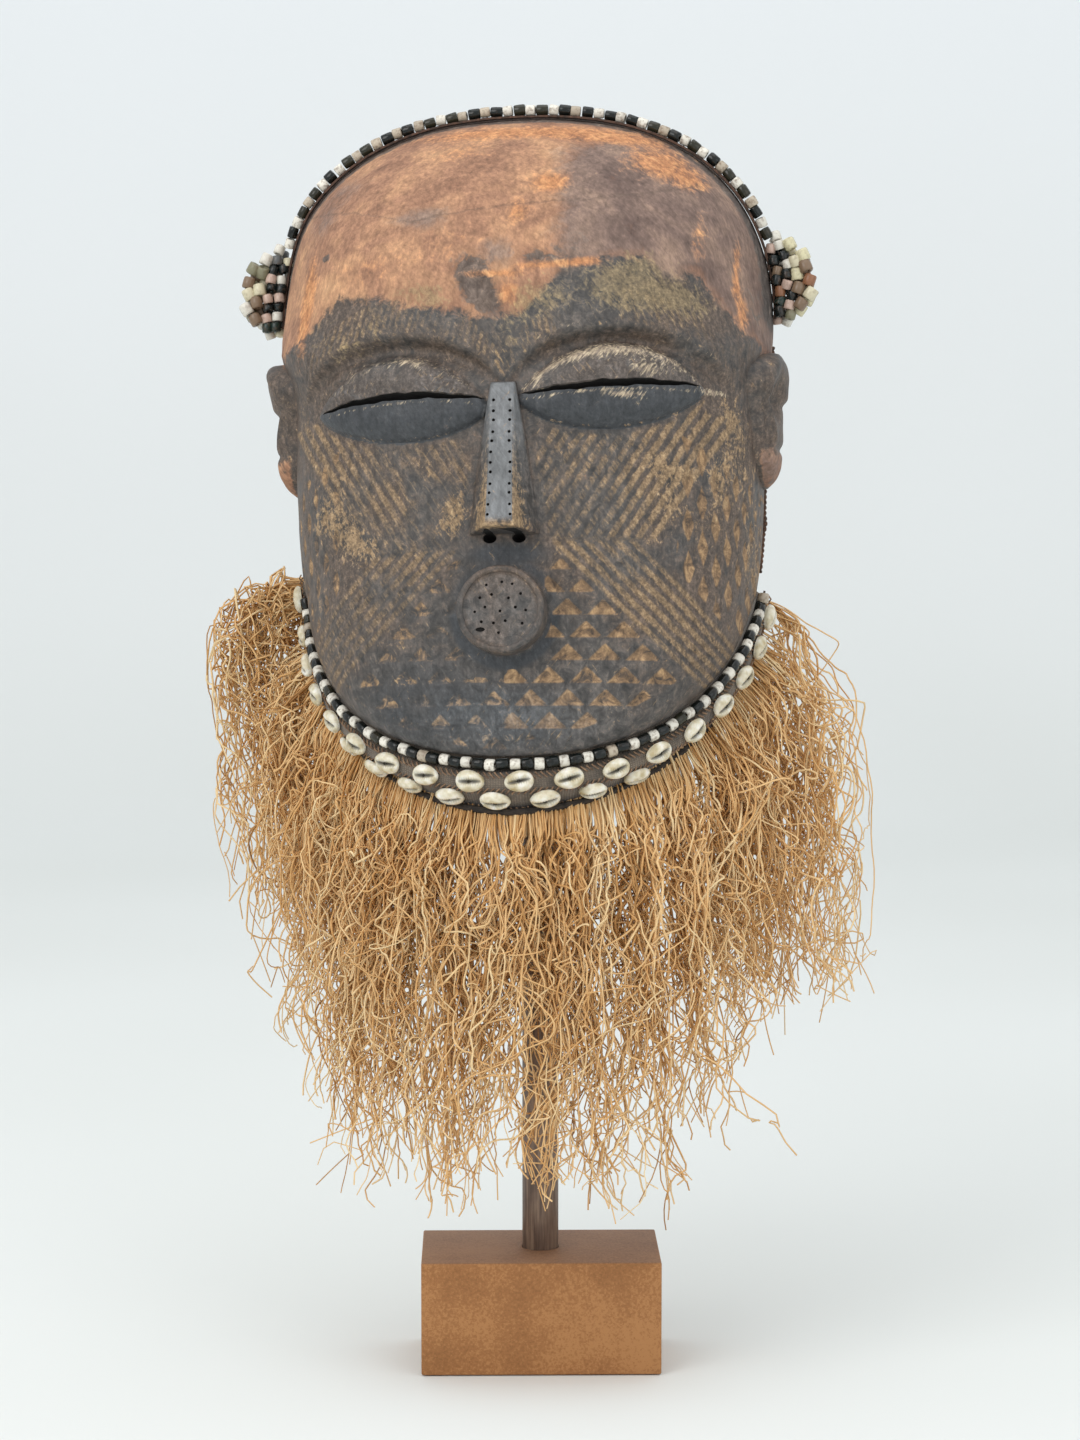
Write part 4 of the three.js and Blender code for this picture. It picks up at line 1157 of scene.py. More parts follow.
def ear_block(side):
    """An ear in low relief: a round upper lobe, a stem with a hollow and a slot, a small lower lobe."""
    share, t = np.meshgrid(np.linspace(0, 1, 60), np.linspace(0, 1, 26), indexing="ij")
    v = mix(EAR["low"], EAR["high"], share)
    around = np.sqrt(np.maximum(0.05, 1 - (2 * share - 1) ** 4))
    # The upper lobe reaches further forward than the rest.
    front = mix(EAR["back"], EAR["front"], around * (0.72 + 0.28 * bell((share - 0.8) / 0.3)))
    depth = mix(EAR["back"], front, t)
    body = mix(EAR["stem"], EAR["lobe"], smooth(share, 0.56, 0.66))
    # A notch under the stem and one above it part it from the lobes.
    body *= 1 - 0.16 * bell((share - 0.27) / 0.035) - 0.1 * bell((share - 0.6) / 0.03)
    hollow = 0.6 * bell((share - 0.62) / 0.14) * bell((t - 0.6) / 0.2)
    slot = 0.5 * bell((share - 0.46) / 0.2) * bell((t - 0.88) / 0.05)
    rise = body * around * (1 - np.maximum(hollow, slot)) * (1 - (2 * t - 1) ** 8) - 0.4
    rise += 0.25 * mottle(np.stack([depth, 0 * v + side, v], axis=-1).reshape(-1, 3), 5, 9).reshape(v.shape)
    reach = side_reach(side, depth, v)
    top = np.stack([side * (reach + rise), -depth, v], axis=-1)
    under = np.stack([side * (reach - 4), -depth, v], axis=-1)[:, [-1, 0]]
    return loft(np.concatenate([top, under], axis=1))


def ball(middle, radii, rings=5, around=8):
    """A small closed ellipsoid, for pits and nostrils."""
    points = [
        [(x, math.cos(level), z) for x, z in circle(math.sin(level), around)]
        for level in np.linspace(0.15, np.pi - 0.15, rings)
    ]
    return loft(np.array(middle) + np.array(points) * radii)


def slit_blade(side):
    """A lens-shaped blade that cuts an eye's slit. It sinks toward the back, so it stays dark."""
    part = np.linspace(-1, 1, 44)
    u = side * (LID["offset"] + LID["half_length"] * 0.95 * part)
    bow = np.maximum(0.02, 1 - part**2)
    # A knife's cut: it wavers a little and closes toward the corners.
    line = eye_line(EYES[side]["slit"], u, side)[0] + 0.25 * np.sin(u * 0.31) + 0.15 * np.sin(u * 0.83)
    half = SLIT["half_height"] * bow**0.6 + 0.12 * np.sin(u * 0.57) * bow
    base, straight = face_at(u, line)
    level = base[:, 1] + straight[:, 1] * relief(u, line, np.interp(u, *GIRTH), 0.0)
    rings = []
    for behind in (45.0, *np.arange(SLIT["deep"], -4.0, -1.5), -30.0):
        sink = SLIT["sink"] * max(0.0, min(behind, SLIT["deep"]))
        upper = np.stack([u, level + behind, line + half - sink], axis=-1)
        lower = np.stack([u, level + behind, line - half - sink], axis=-1)[::-1]
        rings.append(np.concatenate([upper, lower]))
    return loft(rings)


# How many dots each row on the nose has, and how far the mouth's dots are apart and reach
NOSE_DOTS = 12
MOUTH_DOTS = {"pitch": 6.4, "rise": 6.1, "reach": 14.5}


def pit_places():
    """The nose's two rows of dots, the dots of the mouth plug and a chip on it: middles and radii."""
    places = []
    for side, k in itertools.product((-1, 1), range(NOSE_DOTS)):
        share = (k + 0.5) / NOSE_DOTS
        v = mix(NOSE["foot"] + 5, NOSE["top"] - 6, share)
        depth = mix(NOSE_RIDGE["foot_depth"], NOSE_RIDGE["top_depth"], nose_share(v))
        u = side * mix(5.2, 3.6, share) + 0.25 * math.sin(5.1 * k + side)
        places.append(((u, -depth, v + 0.4 * math.sin(3.7 * k)), (0.85, 1.1, 0.85)))
    face = MOUTH["recess"] - MOUTH["front"] - 0.3
    for row, column in itertools.product(range(5), range(5)):
        # Every second row is half a pitch along, and no dot sits quite in its place.
        x = MOUTH_DOTS["pitch"] * (column - 2 + (0.5 if row % 2 else 0))
        x += 0.9 * math.sin(7.3 * row + 2.1 * column)
        y = MOUTH_DOTS["rise"] * (row - 2) + 1.2 * math.cos(4.9 * row + 3.3 * column)
        if math.hypot(x, y) < MOUTH_DOTS["reach"]:
            places.append(((x, face, MOUTH["height"] + y), (0.8, 1.0, 0.8)))
    places.append(((-9.5, face, 63.0), (2.6, 1.3, 1.2)))
    return places


NOSTRILS = [((side * 7.0, -107.0, NOSE["foot"] - 1.2), (3.7, 12.0, 2.7)) for side in (-1, 1)]

# Worn places in front view: middle, half sizes and strength
WORN_PATCHES = (
    (-80, 114, 7, 10, 0.8), (-68, 104, 9, 9, 0.75), (-88, 127, 5, 9, 0.6), (-26, 114, 7, 9, 0.75),
    (-22, 128, 5, 10, 0.65), (-38, 143, 7, 8, 0.6), (-82, 140, 5, 8, 0.5), (-96, 120, 5, 20, 0.5),
    (-45, 100, 8, 8, 0.5), (-62, 168, 22, 2.6, 0.6), (64, 168, 20, 4, 0.5), (82, 140, 10, 5, 0.85),
    (77, 126, 5, 9, 0.75), (91, 118, 6, 9, 0.55), (71, 146, 5, 5, 0.6), (100, 138, 4, 18, 0.75),
    (108, 154, 4, 14, 0.6), (104, 176, 4, 12, 0.75), (30, 148, 14, 6, 0.4), (112, 118, 4, 30, 0.5),
    (70, 108, 12, 5, 0.45), (2, 14, 22, 4, 0.55), (44, 24, 26, 8, 0.4), (-50, 40, 16, 6, 0.5),
    (-60, 62, 14, 8, 0.5), (0, 190, 6, 9, 0.7), (-104, 178, 5, 12, 0.6), (-35, 222, 30, 6, 0.4),
    (115, 88, 4, 22, 0.5), (-110, 90, 3, 20, 0.55), (-96, 80, 5, 8, 0.5), (24, 98, 6, 4, 0.4),
)
ORANGE_PATCHES = (
    (0, 319, 44, 4, 1.25), (45, 314, 16, 4, 0.9), (-28, 306, 16, 6, 0.6), (19, 285, 8, 5, 1.3),
    (68, 301, 12, 8, 1.2), (84, 291, 9, 6, 0.9), (5, 268, 5, 6, 0.9), (-5, 235, 12, 1.6, 1.0),
    (18, 239, 12, 1.6, 1.0), (38, 241, 8, 2.0, 1.2), (2, 225, 5, 6, 1.0), (107, 252, 1.6, 8, 0.9),
    (107, 236, 1.6, 6, 0.9), (110, 222, 2.6, 9, 1.0), (-104, 220, 3, 16, 1.1), (-101, 240, 3, 14, 0.9),
    (-30, 252, 20, 10, 0.4), (-70, 240, 18, 8, 0.45), (90, 256, 4, 12, 0.6),
)
MAUVE_PATCHES = (
    (-98, 275, 9, 12, 0.6), (-43, 267, 14, 8, 0.6), (-85, 291, 14, 8, 0.5), (-6, 247, 12, 8, 0.5),
)
SMEAR_PATCHES = (
    (-43, 227, 12, 5, 0.8), (-34, 220, 8, 6, 0.6), (-64, 210, 9, 9, 0.5), (-80, 203, 8, 7, 0.5),
    (-94, 214, 8, 14, 0.4), (16, 222, 12, 9, 0.95), (50, 232, 12, 7, 0.9), (64, 240, 8, 6, 0.9),
    (73, 226, 14, 7, 0.9), (55, 220, 14, 6, 0.7), (86, 220, 10, 9, 0.6), (2, 203, 10, 10, 0.5),
)
DARK_PATCHES = (
    (-17, 238, 8, 8, 0.9), (-12, 227, 8, 7, 0.8), (14, 243, 8, 4, 0.7), (-4, 219, 7, 6, 0.7),
    (34, 233, 9, 7, 1.0), (40, 222, 8, 9, 0.8), (31, 211, 9, 7, 0.7), (-93, 252, 2, 2, 1.2),
    (30, 252, 12, 8, 0.4),
)
# Where the forehead's earth ends above the brows, and the crack across it: u and v
EARTH_END = (
    (-120, 204), (-100, 214), (-83, 230), (-61, 225), (-35, 217), (-12, 214), (8, 214), (24, 232), (45, 243),
    (64, 244), (90, 236), (108, 216), (122, 204),
)
CRACK = ((-110, 282), (-76, 274), (-48, 265), (-24, 269), (3, 272), (43, 275), (77, 283), (92, 291))
FACE_LAYERS = (
    "umber", "slate", "grey", "stripe", "lined", "line_show", "chips", "chip_show", "worn", "scratch",
    "earth", "mauve", "orange", "smear", "dark", "pale", "crack", "lining", "deep",
)


def patches(u, v, table):
    """Soft-edged spots in front view, added up."""
    return sum(
        strength * bell(np.hypot((u - x) / (1.3 * wide), (v - y) / (1.3 * high)))
        for x, y, wide, high, strength in table
    )


def face_layers(points, groove):
    """The paint and wear of each point of the carved face, from its place in front view."""
    u, depth, v = points[:, 0], -points[:, 1], points[:, 2]
    girth = np.interp(u, *GIRTH)
    base, straight = face_at(u, v)
    proud = np.einsum("ij,ij->i", points - base, straight)
    sunk = relief(u, v, girth, groove) - proud
    phase, zone, chips, line_show, chip_show = carving(u, v, girth)
    edge_gap = outline_radius(np.arctan2(v - MIDDLE, u)) - np.hypot(u, v - MIDDLE)
    inside = proud < -3.5
    outside = ~inside
    nose_half = mix(NOSE["foot_half"], NOSE["top_half"], nose_share(v)) + 0.8
    on_nose = (np.abs(u) < nose_half) & (v > NOSE["foot"] - 1) & (v < NOSE["top"] + 3) & (proud > 0.8)
    on_mouth = (np.hypot(u, v - MOUTH["height"]) < MOUTH["radius"] + 0.7) & (proud > 0.8)
    on_ear = (np.abs(u) > 100) & (v > EAR["low"] - 2) & (v < EAR["high"] + 2) & (proud > 0.7)
    raised = on_nose | on_mouth | on_ear
    layers = {name: np.zeros_like(u) for name in FACE_LAYERS}
    worn = 0.95 * patches(u, v, WORN_PATCHES)
    # Browner toward the jaws, dark and bluish down on the chin, with a painted pale sheen on it
    umber = 0.42 + 0.3 * smooth(np.abs(u), 40, 100) - 0.3 * bell((v - 20) / 30)
    slate = 0.6 * bell((v - 22) / 24) * bell((u + 14) / 75)
    slate += 0.35 * bell((v - 45) / 22) * bell((u + 45) / 40)
    grey = 0.42 * bell((v - 22) / 20) * bell((u - 2) / 66)
    scratch = np.where(v < 205, 0.42, 0.25)
    pale = np.zeros_like(u)
    for side, eye in EYES.items():
        along, across = lid_place(u, v, side)
        on_lid = (np.abs(along) < 1) & (np.abs(across) < 1.04) & ~on_nose
        slit = eye_line(eye["slit"], u, side)[0]
        upper = v > slit
        ends = np.maximum(0, 1 - along**2)
        slate = np.where(on_lid, np.where(upper, 0.35, 1.0), slate)
        umber = np.where(on_lid, np.where(upper, 0.75, 0.0), umber)
        grey = np.where(on_lid, np.where(upper, 0.28, 0.05), grey)
        scratch = np.where(on_lid, np.where(upper, 0.5, 0.2), scratch)
        worn = np.where(on_lid, 0.0, worn)
        border = bell((np.abs(across) - 0.96) / 0.07) * (np.abs(across) < 1.12) * (np.abs(along) < 1.02)
        worn = np.maximum(worn, 0.5 * border * ~on_nose)
        lip = bell((v - slit + 3.2) / 1.1) * ends**0.3 * (np.abs(along) < 1)
        crest = bell((across - 0.82) / 0.16) * (np.abs(along) < 1) * ends**0.2
        pale = np.maximum(pale, (0.5 if side < 0 else 0.62) * lip)
        if side > 0:
            # The rubbed crest and upper lid, the tail at the outer corner, a spot at the inner one
            rubs = (
                crest * mix(1.0, 0.7, clamp01(along)),
                on_lid * upper * smooth(across, 0.3, 0.85) * 0.6,
                0.9 * bell(np.hypot((u - 97) / 7, (v - 180) / 2.2)),
                0.8 * bell(np.hypot((u - 17) / 5, (v - 181) / 5)),
                on_lid * patches(u, v, ((68, 188, 7, 4, 0.8), (58, 175.5, 12, 1.8, 0.7))),
            )
        else:
            rubs = (0.5 * crest, 0.7 * bell(np.hypot((u + 50) / 22, (v - 193) / 3)))
        pale = np.maximum.reduce([pale, *rubs])
        above, part = brow_gap(u, v, side)
        # Painted shade: the hollow under each brow ridge is kept brown and free of wear.
        band = bell((above + 6) / 5) * (np.abs(part) < 1) * ~on_lid
        umber = np.maximum(umber, 0.75 * band)
        worn = worn * (1 - 0.95 * band)
        ridge = bell((above - 1) / 2.0) * (np.abs(part) < 0.96)
        worn = np.maximum(worn, 0.5 * ridge)
        pale = np.maximum(pale, 0.3 * ridge * (side > 0))
    # The nose and the plug: painted light on the nose, a paler face on the plug, bare on their lower edges
    foot = bell((v - NOSE["foot"] - 3.5) / 3) * smooth(depth, 108, 116)
    ridge_half = mix(NOSE_RIDGE["foot_half"], NOSE_RIDGE["top_half"], nose_share(v))
    # Painted light: the nose's ridge is lit pale, its left flank less and its right flank not at all.
    flank = np.where(u > ridge_half + 0.5, 0.0, np.where(u < -ridge_half - 0.5, 0.55, 0.9))
    corner = bell((np.abs(u) - ridge_half - 0.4) / 1.1)
    worn = np.where(on_nose, 0.95 * foot + 0.35 * corner, worn)
    flank = flank * (1 - 0.8 * foot) * smooth(v, NOSE["foot"] + 1.5, NOSE["foot"] + 4)
    grey = np.where(on_nose, flank, grey)
    slate = np.where(on_nose, 0.6 * (1 - foot), slate)
    radius = np.hypot(u, v - MOUTH["height"])
    umber = np.where(on_mouth, 0.55, umber)
    slate = np.where(on_mouth, 0.1, slate)
    grey = np.where(on_mouth, 0.3 * (radius < 17), grey)
    worn = np.where(on_mouth, 0.35 * bell((radius - 20) / 1.5) * (u > 5), worn)
    pale = np.where(on_nose | on_mouth, 0, pale)
    worn = np.where(on_ear, 0.5 * bell((v - 150) / 9) + 0.25, worn)
    # Painted shade under the nose and round the plug, stronger below the plug: the dark bluish coat is
    # raised there, the umber and the wear held back.
    shade = np.maximum(bell((v - 100) / 6) * bell(u / 20), bell((radius - 24) / 4) * (0.6 + 0.4 * (v < 72)))
    shade = np.where(raised, 0, shade)
    slate, umber = np.maximum(slate, 0.95 * shade), umber * (1 - 0.6 * shade)
    worn = worn * (1 - 0.9 * clamp01(shade))
    # The forehead's earth and what lies on it
    end = np.interp(u, *zip(*EARTH_END))
    earth = np.where(on_ear, 0.72 * bell((v - 149) / 11), smooth(v, end - 12, end + 12))
    high = smooth(v, end - 30, end - 8)
    # Dark patches on the forehead, and a painted shadow along the crown's edge beside the beads.
    dark = patches(u, v, DARK_PATCHES) + 1.3 * bell((edge_gap - 0.8) / 3.2) * smooth(v, 215, 240)
    dark += 0.5 * smooth(np.abs(u), 100, 116) * bell((v - 228) / 24) * (u > 0)
    layers.update(
        umber=umber, slate=slate * outside, grey=grey * outside, stripe=phase,
        lined=np.where(raised | inside, -6, zone), line_show=line_show,
        chips=np.where(raised | inside, -6, chips), chip_show=chip_show,
        worn=worn * outside * (1 - 0.8 * smooth(v, end - 4, end + 8)),
        scratch=scratch * outside, earth=earth * outside,
        mauve=(0.95 * smooth(u, 8, 42) * smooth(v, 330, 296) + patches(u, v, MAUVE_PATCHES)) * earth,
        orange=patches(u, v, ORANGE_PATCHES) * high * outside, smear=patches(u, v, SMEAR_PATCHES) * outside,
        dark=dark * outside, pale=pale * outside,
        crack=np.where(outside & (v > 230), np.clip(v - np.interp(u, *zip(*CRACK)), -9, 9), 9),
        lining=inside.astype(float),
        # Painted shade: near black where the surface is sunk below the carving, as in the eye slits.
        deep=smooth(sunk, 0.9, 1.8) * outside * ~raised * (edge_gap > 6),
    )
    # Painted shade, near black, in the pits of the dots.
    for (x, ahead, y), (wide, _, high) in pit_places():
        hole = (np.hypot((u - x) / wide, (v - y) / high) < 1.15) & (depth < -ahead - 0.45)
        layers["deep"] = np.maximum(layers["deep"], hole & outside)
    # Painted shade, near black, in the nostrils.
    for (x, _, y), (wide, _, high) in NOSTRILS:
        hole = np.hypot((u - x) / wide, (v - y) / high) < 1.2
        sunken = ((v > NOSE["foot"] + 0.8) & (depth < 119)) | (proud < -0.4)
        layers["deep"] = np.maximum(layers["deep"], hole & sunken)
    return layers


class BEADEDMASK_OT_carve_face(bpy.types.Operator):
    """Carve the hollow wooden face with its lids, brows, nose, mouth plug and ears"""

    bl_idname = "beaded_mask.carve_face"
    bl_label = "Carve the face"

    def execute(self, context):
        settings = context.scene.beaded_mask.face
        groove = settings.groove / MM
        solid = carved_shell(settings.cells, groove)
        solid = combined(solid, joined([nose_block(), mouth_plug(), ear_block(-1), ear_block(1)]), "UNION")
        holes = [ball(middle, radii, 9, 16) for middle, radii in NOSTRILS]
        holes += [ball(middle, radii) for middle, radii in pit_places()]
        points, faces = combined(solid, joined([slit_blade(-1), slit_blade(1), *holes]), "DIFFERENCE")
        mesh = new_mesh("mask_shell_carved", place(points), faces)
        give(mesh, **face_layers(points, groove))
        finish_piece(
            "carved_face", mesh, "carved_wood", "mask_shell", material=carved_hardwood(), sharp=42
        )
        return {"FINISHED"}


# Beads


def bead_unit():
    """A short drawn bead of radius 1 and length 2 along z, its ends rounded, with its hole."""
    around = 10
    profile = [(0.36, -0.84), (0.56, -0.97), (0.86, -0.95), (0.98, -0.76), (1.0, 0.0)]
    profile += [(r, -z) for r, z in profile[:4][::-1]]
    points = np.array([(x, y, z) for r, z in profile for x, y in circle(r, around)])
    faces = grid_faces(len(profile), around, closed=True)
    last = (len(profile) - 1) * around
    faces += [(last + k, last + (k + 1) % around, (k + 1) % around, k) for k in range(around)]
    mesh = new_mesh("bead_unit", points, facing_out(points, faces))
    mesh.shade_smooth()
    return new_object("bead_unit", mesh)


def threaded(name, points, along, out, tint, size, chalk, radius, material, seed):
    """A mesh of beads. Each size is two shares of the radius and a length in mm."""
    carrier = new_mesh(name, points)
    give(carrier, along=along, out=out, tint=tint, size=size, chalk=chalk)
    mesh = grown(
        name, carrier, threading_tree(), Unit=bead_unit(), Width=radius, Length=MM / 2,
        Unevenness=0.05, Seed=seed, Material=material,
    )
    fresh("bead_unit")
    return mesh


def string_stations(run, offset, forward, lengths):
    """Middles of beads of the given lengths in turn along the edge, with their run and outward way."""

    def path(alpha):
        point, _, out = edge_frame(alpha)
        return point + out * offset + np.array([0.0, -forward, 0.0])

    _, length = even_angles(run, [0], path)
    count = round(length / sum(lengths))
    starts = np.concatenate([[0], np.cumsum(np.tile(lengths, count))])
    alpha, _ = even_angles(run, (starts[1:] + starts[:-1]) / 2 / starts[-1], path)
    _, way, out = edge_frame(alpha)
    return path(alpha), way, out


def string_of_beads(name, run, offset, forward, settings, material, seed, stained):
    """A mesh of dark and white beads in turn, a share of them stained."""
    lengths = np.array([settings.dark_length, settings.white_length]) / MM
    points, way, out = string_stations(run, offset, forward, lengths)
    count = len(points)
    chance = np.random.default_rng(seed)
    dark = np.arange(count) % 2 == 0
    tints = np.where(dark[:, None], np.array(settings.dark), np.array(settings.white))
    stain = chance.random(count)
    for kind, code, share in ((~dark, "#9c8462", 0.6), (dark, "#3c3a2a", 0.5)):
        stained_tints = mix(tints, np.array(linear(code)), share)
        tints = np.where((kind & (stain < stained))[:, None], stained_tints, tints)
    tints[:, :3] *= chance.uniform(0.82, 1.05, (count, 1))
    wobble = chance.normal(0, 0.2, (count, 3))
    wide = chance.uniform(0.9, 1.02, count)
    long = np.where(dark, *lengths) * chance.uniform(0.9, 1.0, count)
    way = way + chance.normal(0, 0.07, (count, 3))
    return threaded(
        name, place(points + wobble), way @ POSE.T, out @ POSE.T, tints,
        np.stack([wide, wide, long], axis=1), ~dark, settings.radius, material, seed,
    )


def edge_strip(run, corners, steps, wobble):
    """A closed strip along the edge. Corners are outward and forward distances."""
    point, _, out = edge_frame(np.linspace(*run, steps))
    rings = np.stack([point + out * a + np.array([0.0, -b, 0.0]) for a, b in corners], axis=1)
    rings[..., 1] += wobble * mottle(rings.reshape(-1, 3), 4, 8).reshape(rings.shape[:2])
    return loft(rings)


# Where the crown's string lies, outward and forward of the edge, and how far its strip runs past it
CROWN_STRING = (4.4, 1.0)
CROWN_STRIP_ENDS = (-0.24, 0.24)
CROWN_STRIP = ((0.35, -3), (1.2, -3.3), (1.7, -2), (1.7, 2), (1.3, 3.4), (0.35, 3.3))
# The thread over the crown's beads: outward and backward of each bead's middle
CROWN_STITCH = ((-3.0, 3.0), (-1.0, 2.9), (1.2, 1.0))


class BEADEDMASK_OT_trim_crown(bpy.types.Operator):
    """Bind the crown's edge and string its beads"""

    bl_idname = "beaded_mask.trim_crown"
    bl_label = "Trim the crown"

    def execute(self, context):
        settings = context.scene.beaded_mask.beads
        points, faces = edge_strip(CROWN_RUN + CROWN_STRIP_ENDS, CROWN_STRIP, 280, 0.35)
        finish_piece(
            "crown_binding_strip", new_mesh("crown_binding_strip", place(points), faces), "binding",
            "crown_binding", material=twisted_fibre("oiled_hide_strip", "#33261e", "#66493a"),
        )
        mesh = string_of_beads(
            "crown_beads", CROWN_RUN, *CROWN_STRING, settings, drawn_glass(), seed=11, stained=0.45
        )
        finish_piece("crown_beads", mesh, "glass_bead", "crown_bead_string", sharp=60)
        # The thread that holds each bead to the strip
        points, _, out = string_stations(CROWN_RUN, *CROWN_STRING, [5.8])
        lines = np.stack([points + out * away + (0, back, 0) for away, back in CROWN_STITCH], axis=1)
        thread = twisted_fibre("dark_thread", "#2c211a", "#6b5138")
        finish_piece("crown_thread", strands("crown_thread", place(lines), thread, 0.9, 5), "binding")
        return {"FINISHED"}


class BEADEDMASK_OT_string_chin(bpy.types.Operator):
    """String the beads along the jaw and chin"""

    bl_idname = "beaded_mask.string_chin"
    bl_label = "String the chin beads"

    def execute(self, context):
        settings = context.scene.beaded_mask.beads
        glass = bpy.data.materials.get("drawn_glass_beads") or drawn_glass()
        mesh = string_of_beads(
            "chin_beads", JAW_RUN, BEAD_OUT, 0.0, settings, glass, seed=23, stained=0.16
        )
        finish_piece("chin_beads", mesh, "glass_bead", "chin_bead_string", sharp=60)
        points, way, _ = string_stations(JAW_RUN, BEAD_OUT, 0.0, [5.9])
        line = np.concatenate([points[:1] - way[:1] * 4, points, points[-1:] + way[-1:] * 4])
        thread = twisted_fibre("waxed_thread", "#2c211a", "#57412f")
        finish_piece("chin_thread", strands("chin_thread", place(line)[None], thread, 1.1, 6), "glass_bead")
        return {"FINISHED"}


# Where the strands lie: outward, forward, and how far the layer behind is lower, inward and back
ROSETTE = {"offset": 3.8, "spacing": 5.2, "depth": 4.6, "stagger": 0.8}
ROSETTE_BEHIND = {"lower": 2.0, "inward": 1.2, "back": 5.4}
# The lowest and highest point of each strand from the face outward, and its beads from the top down
ROSETTE_SPANS = ((228, 266), (227, 272), (231, 268), (236, 263))
ROSETTE_BEADS = {
    -1: ("cdwdpdwg", "wsdpdpdpg", "wocbb", "obcw"),
    1: ("pdbdrgd", "wwdwdpdpo", "ycybb", "ybrc"),
}
ROSETTE_TINTS = {
    "c": "#d3cbae", "d": "#161d1d", "w": "#dcd8cc", "p": "#c6ab9c", "g": "#20302a", "s": "#5e6060",
    "o": "#85826a", "b": "#7f6a56", "r": "#8f6348", "y": "#d6cfab",
}


def outline_reach(side, v):
    """How far the outline reaches to a side at a height above the cheeks."""
    rise = np.maximum(0, v - WIDEST_AT) / CROWN_RISE
    return HALF_WIDTH * (1 - rise**CROWN_POWER) ** (1 / CROWN_POWER) + side * SHIFT


def rosette_beads(side, chance):
    """Places, ways, colours and sizes of one temple's bead strands: a front layer and one behind it."""
    spots, ways, tints, sizes = [], [], [], []
    for layer, (strand, (low, high)) in itertools.product(range(2), enumerate(ROSETTE_SPANS)):
        kinds = ROSETTE_BEADS[side][strand]
        kinds = kinds[layer:] + kinds[:layer]
        pitch = (high - low) / len(kinds)
        for k, kind in enumerate(kinds):
            v = high - pitch * (k + 0.5) - ROSETTE_BEHIND["lower"] * layer
            out = outline_reach(side, v) + ROSETTE["offset"] + strand * ROSETTE["spacing"]
            out -= ROSETTE_BEHIND["inward"] * layer
            depth = ROSETTE["depth"] + ROSETTE["stagger"] * strand - ROSETTE_BEHIND["back"] * layer
            spots.append((side * out, -depth, v))
            ways.append((side * 0.02 * strand * (249 - v), 0, 1))
            tints.append(linear(ROSETTE_TINTS[kind]))
            # The two outer strands have bigger beads.
            wide = 1.12 if strand > 1 else 0.95
            sizes.append((wide, wide, min(pitch, 6.2) * 0.98))
    spots = np.array(spots) + chance.normal(0, 0.45, (len(spots), 3))
    ways = np.array(ways) + chance.normal(0, 0.16, (len(ways), 3))
    return spots, ways, np.array(tints), np.array(sizes)


class BEADEDMASK_OT_thread_rosettes(bpy.types.Operator):
    """Thread the upright bead strands at both temples"""

    bl_idname = "beaded_mask.thread_rosettes"
    bl_label = "Thread the temple rosettes"

    def execute(self, context):
        settings = context.scene.beaded_mask.beads
        glass = bpy.data.materials.get("drawn_glass_beads") or drawn_glass()
        for side, name in ((-1, "left"), (1, "right")):
            spots, ways, tints, sizes = rosette_beads(side, np.random.default_rng(31 + side))
            out = np.tile([float(side), 0.0, 0.0], (len(spots), 1))
            mesh = threaded(
                f"{name}_rosette", place(spots), ways @ POSE.T, out @ POSE.T, tints, sizes,
                np.full(len(spots), 0.4), settings.radius, glass, 5,
            )
            finish_piece(f"{name}_rosette", mesh, "rosette_bead", f"{name}_bead_rosette", sharp=60)
        return {"FINISHED"}


# The lowest and highest point of each side cord, its place behind the edge, its turns and its knots
SIDE_CORD = {"span": (101.5, 214.5), "back": 2.45, "turns": 21, "knots": (3, 8, 13)}


class BEADEDMASK_OT_tie_side_cords(bpy.types.Operator):
    """Tie the knotted cords behind the edge, below the temples"""

    bl_idname = "beaded_mask.tie_side_cords"
    bl_label = "Tie the side cords"

    def execute(self, context):
        cord = twisted_fibre("twisted_bast_cord", "#2a1f18", "#6b4b36")
        share = np.linspace(0, 1, 260)
        v = mix(*SIDE_CORD["span"], share)
        knot = np.maximum.reduce([bell((share * 14 - k) / 0.45) for k in SIDE_CORD["knots"]])
        away = 0.75 + 0.5 * knot
        for side, name in ((-1, "left"), (1, "right")):
            reach = side_reach(side, 0.5, v) - 0.4
            lines = []
            # Two strands, half a turn apart
            for start in (0.0, 0.5):
                turn = 2 * np.pi * (share * SIDE_CORD["turns"] + start)
                across, back = away * np.cos(turn), away * np.sin(turn) * 0.8
                lines.append(np.stack([side * reach + across, SIDE_CORD["back"] + back, v], axis=-1))
            girth = np.tile(1 + 0.35 * knot, (2, 1))
            mesh = strands(f"{name}_cord", place(np.array(lines)), cord, 1.8, 8, girth)
            finish_piece(f"{name}_twisted_cord", mesh, "cord", f"{name}_side_cord", sharp=0)
        return {"FINISHED"}


# The collar and its cowries

COLLAR_SECTION = (
    (-1.6, -7), (-1.6, -2.8), (6.6, -3.2), (7.9, -0.6), (9.5, 1.5), (15.2, 1.6), (17.2, 0.8), (21.2, -4),
    (25.4, -7.5), (26, -11), (15, -13),
)
COLLAR_LENGTH = 340.0
# Rows of stitches between the shells: outward and forward places, and their lean along the roll
STITCH_ROWS = ((9.3, 1.6, 0.004), (16.4, 1.6, -0.004), (24.6, -6.6, 0.003))
HEM_PLACE = (26.2, -6.1)
COWRIE = {"half_length": 7.5, "half_width": 5.4, "height": 6.0}
# Both rows of cowries: how many, the first one's place, outward, forward and tilt
COWRIE_ROWS = ((18, 0.5, 12.0, 1.6, 0.0), (8, 5.0, 19.4, -1.8, math.radians(50)))


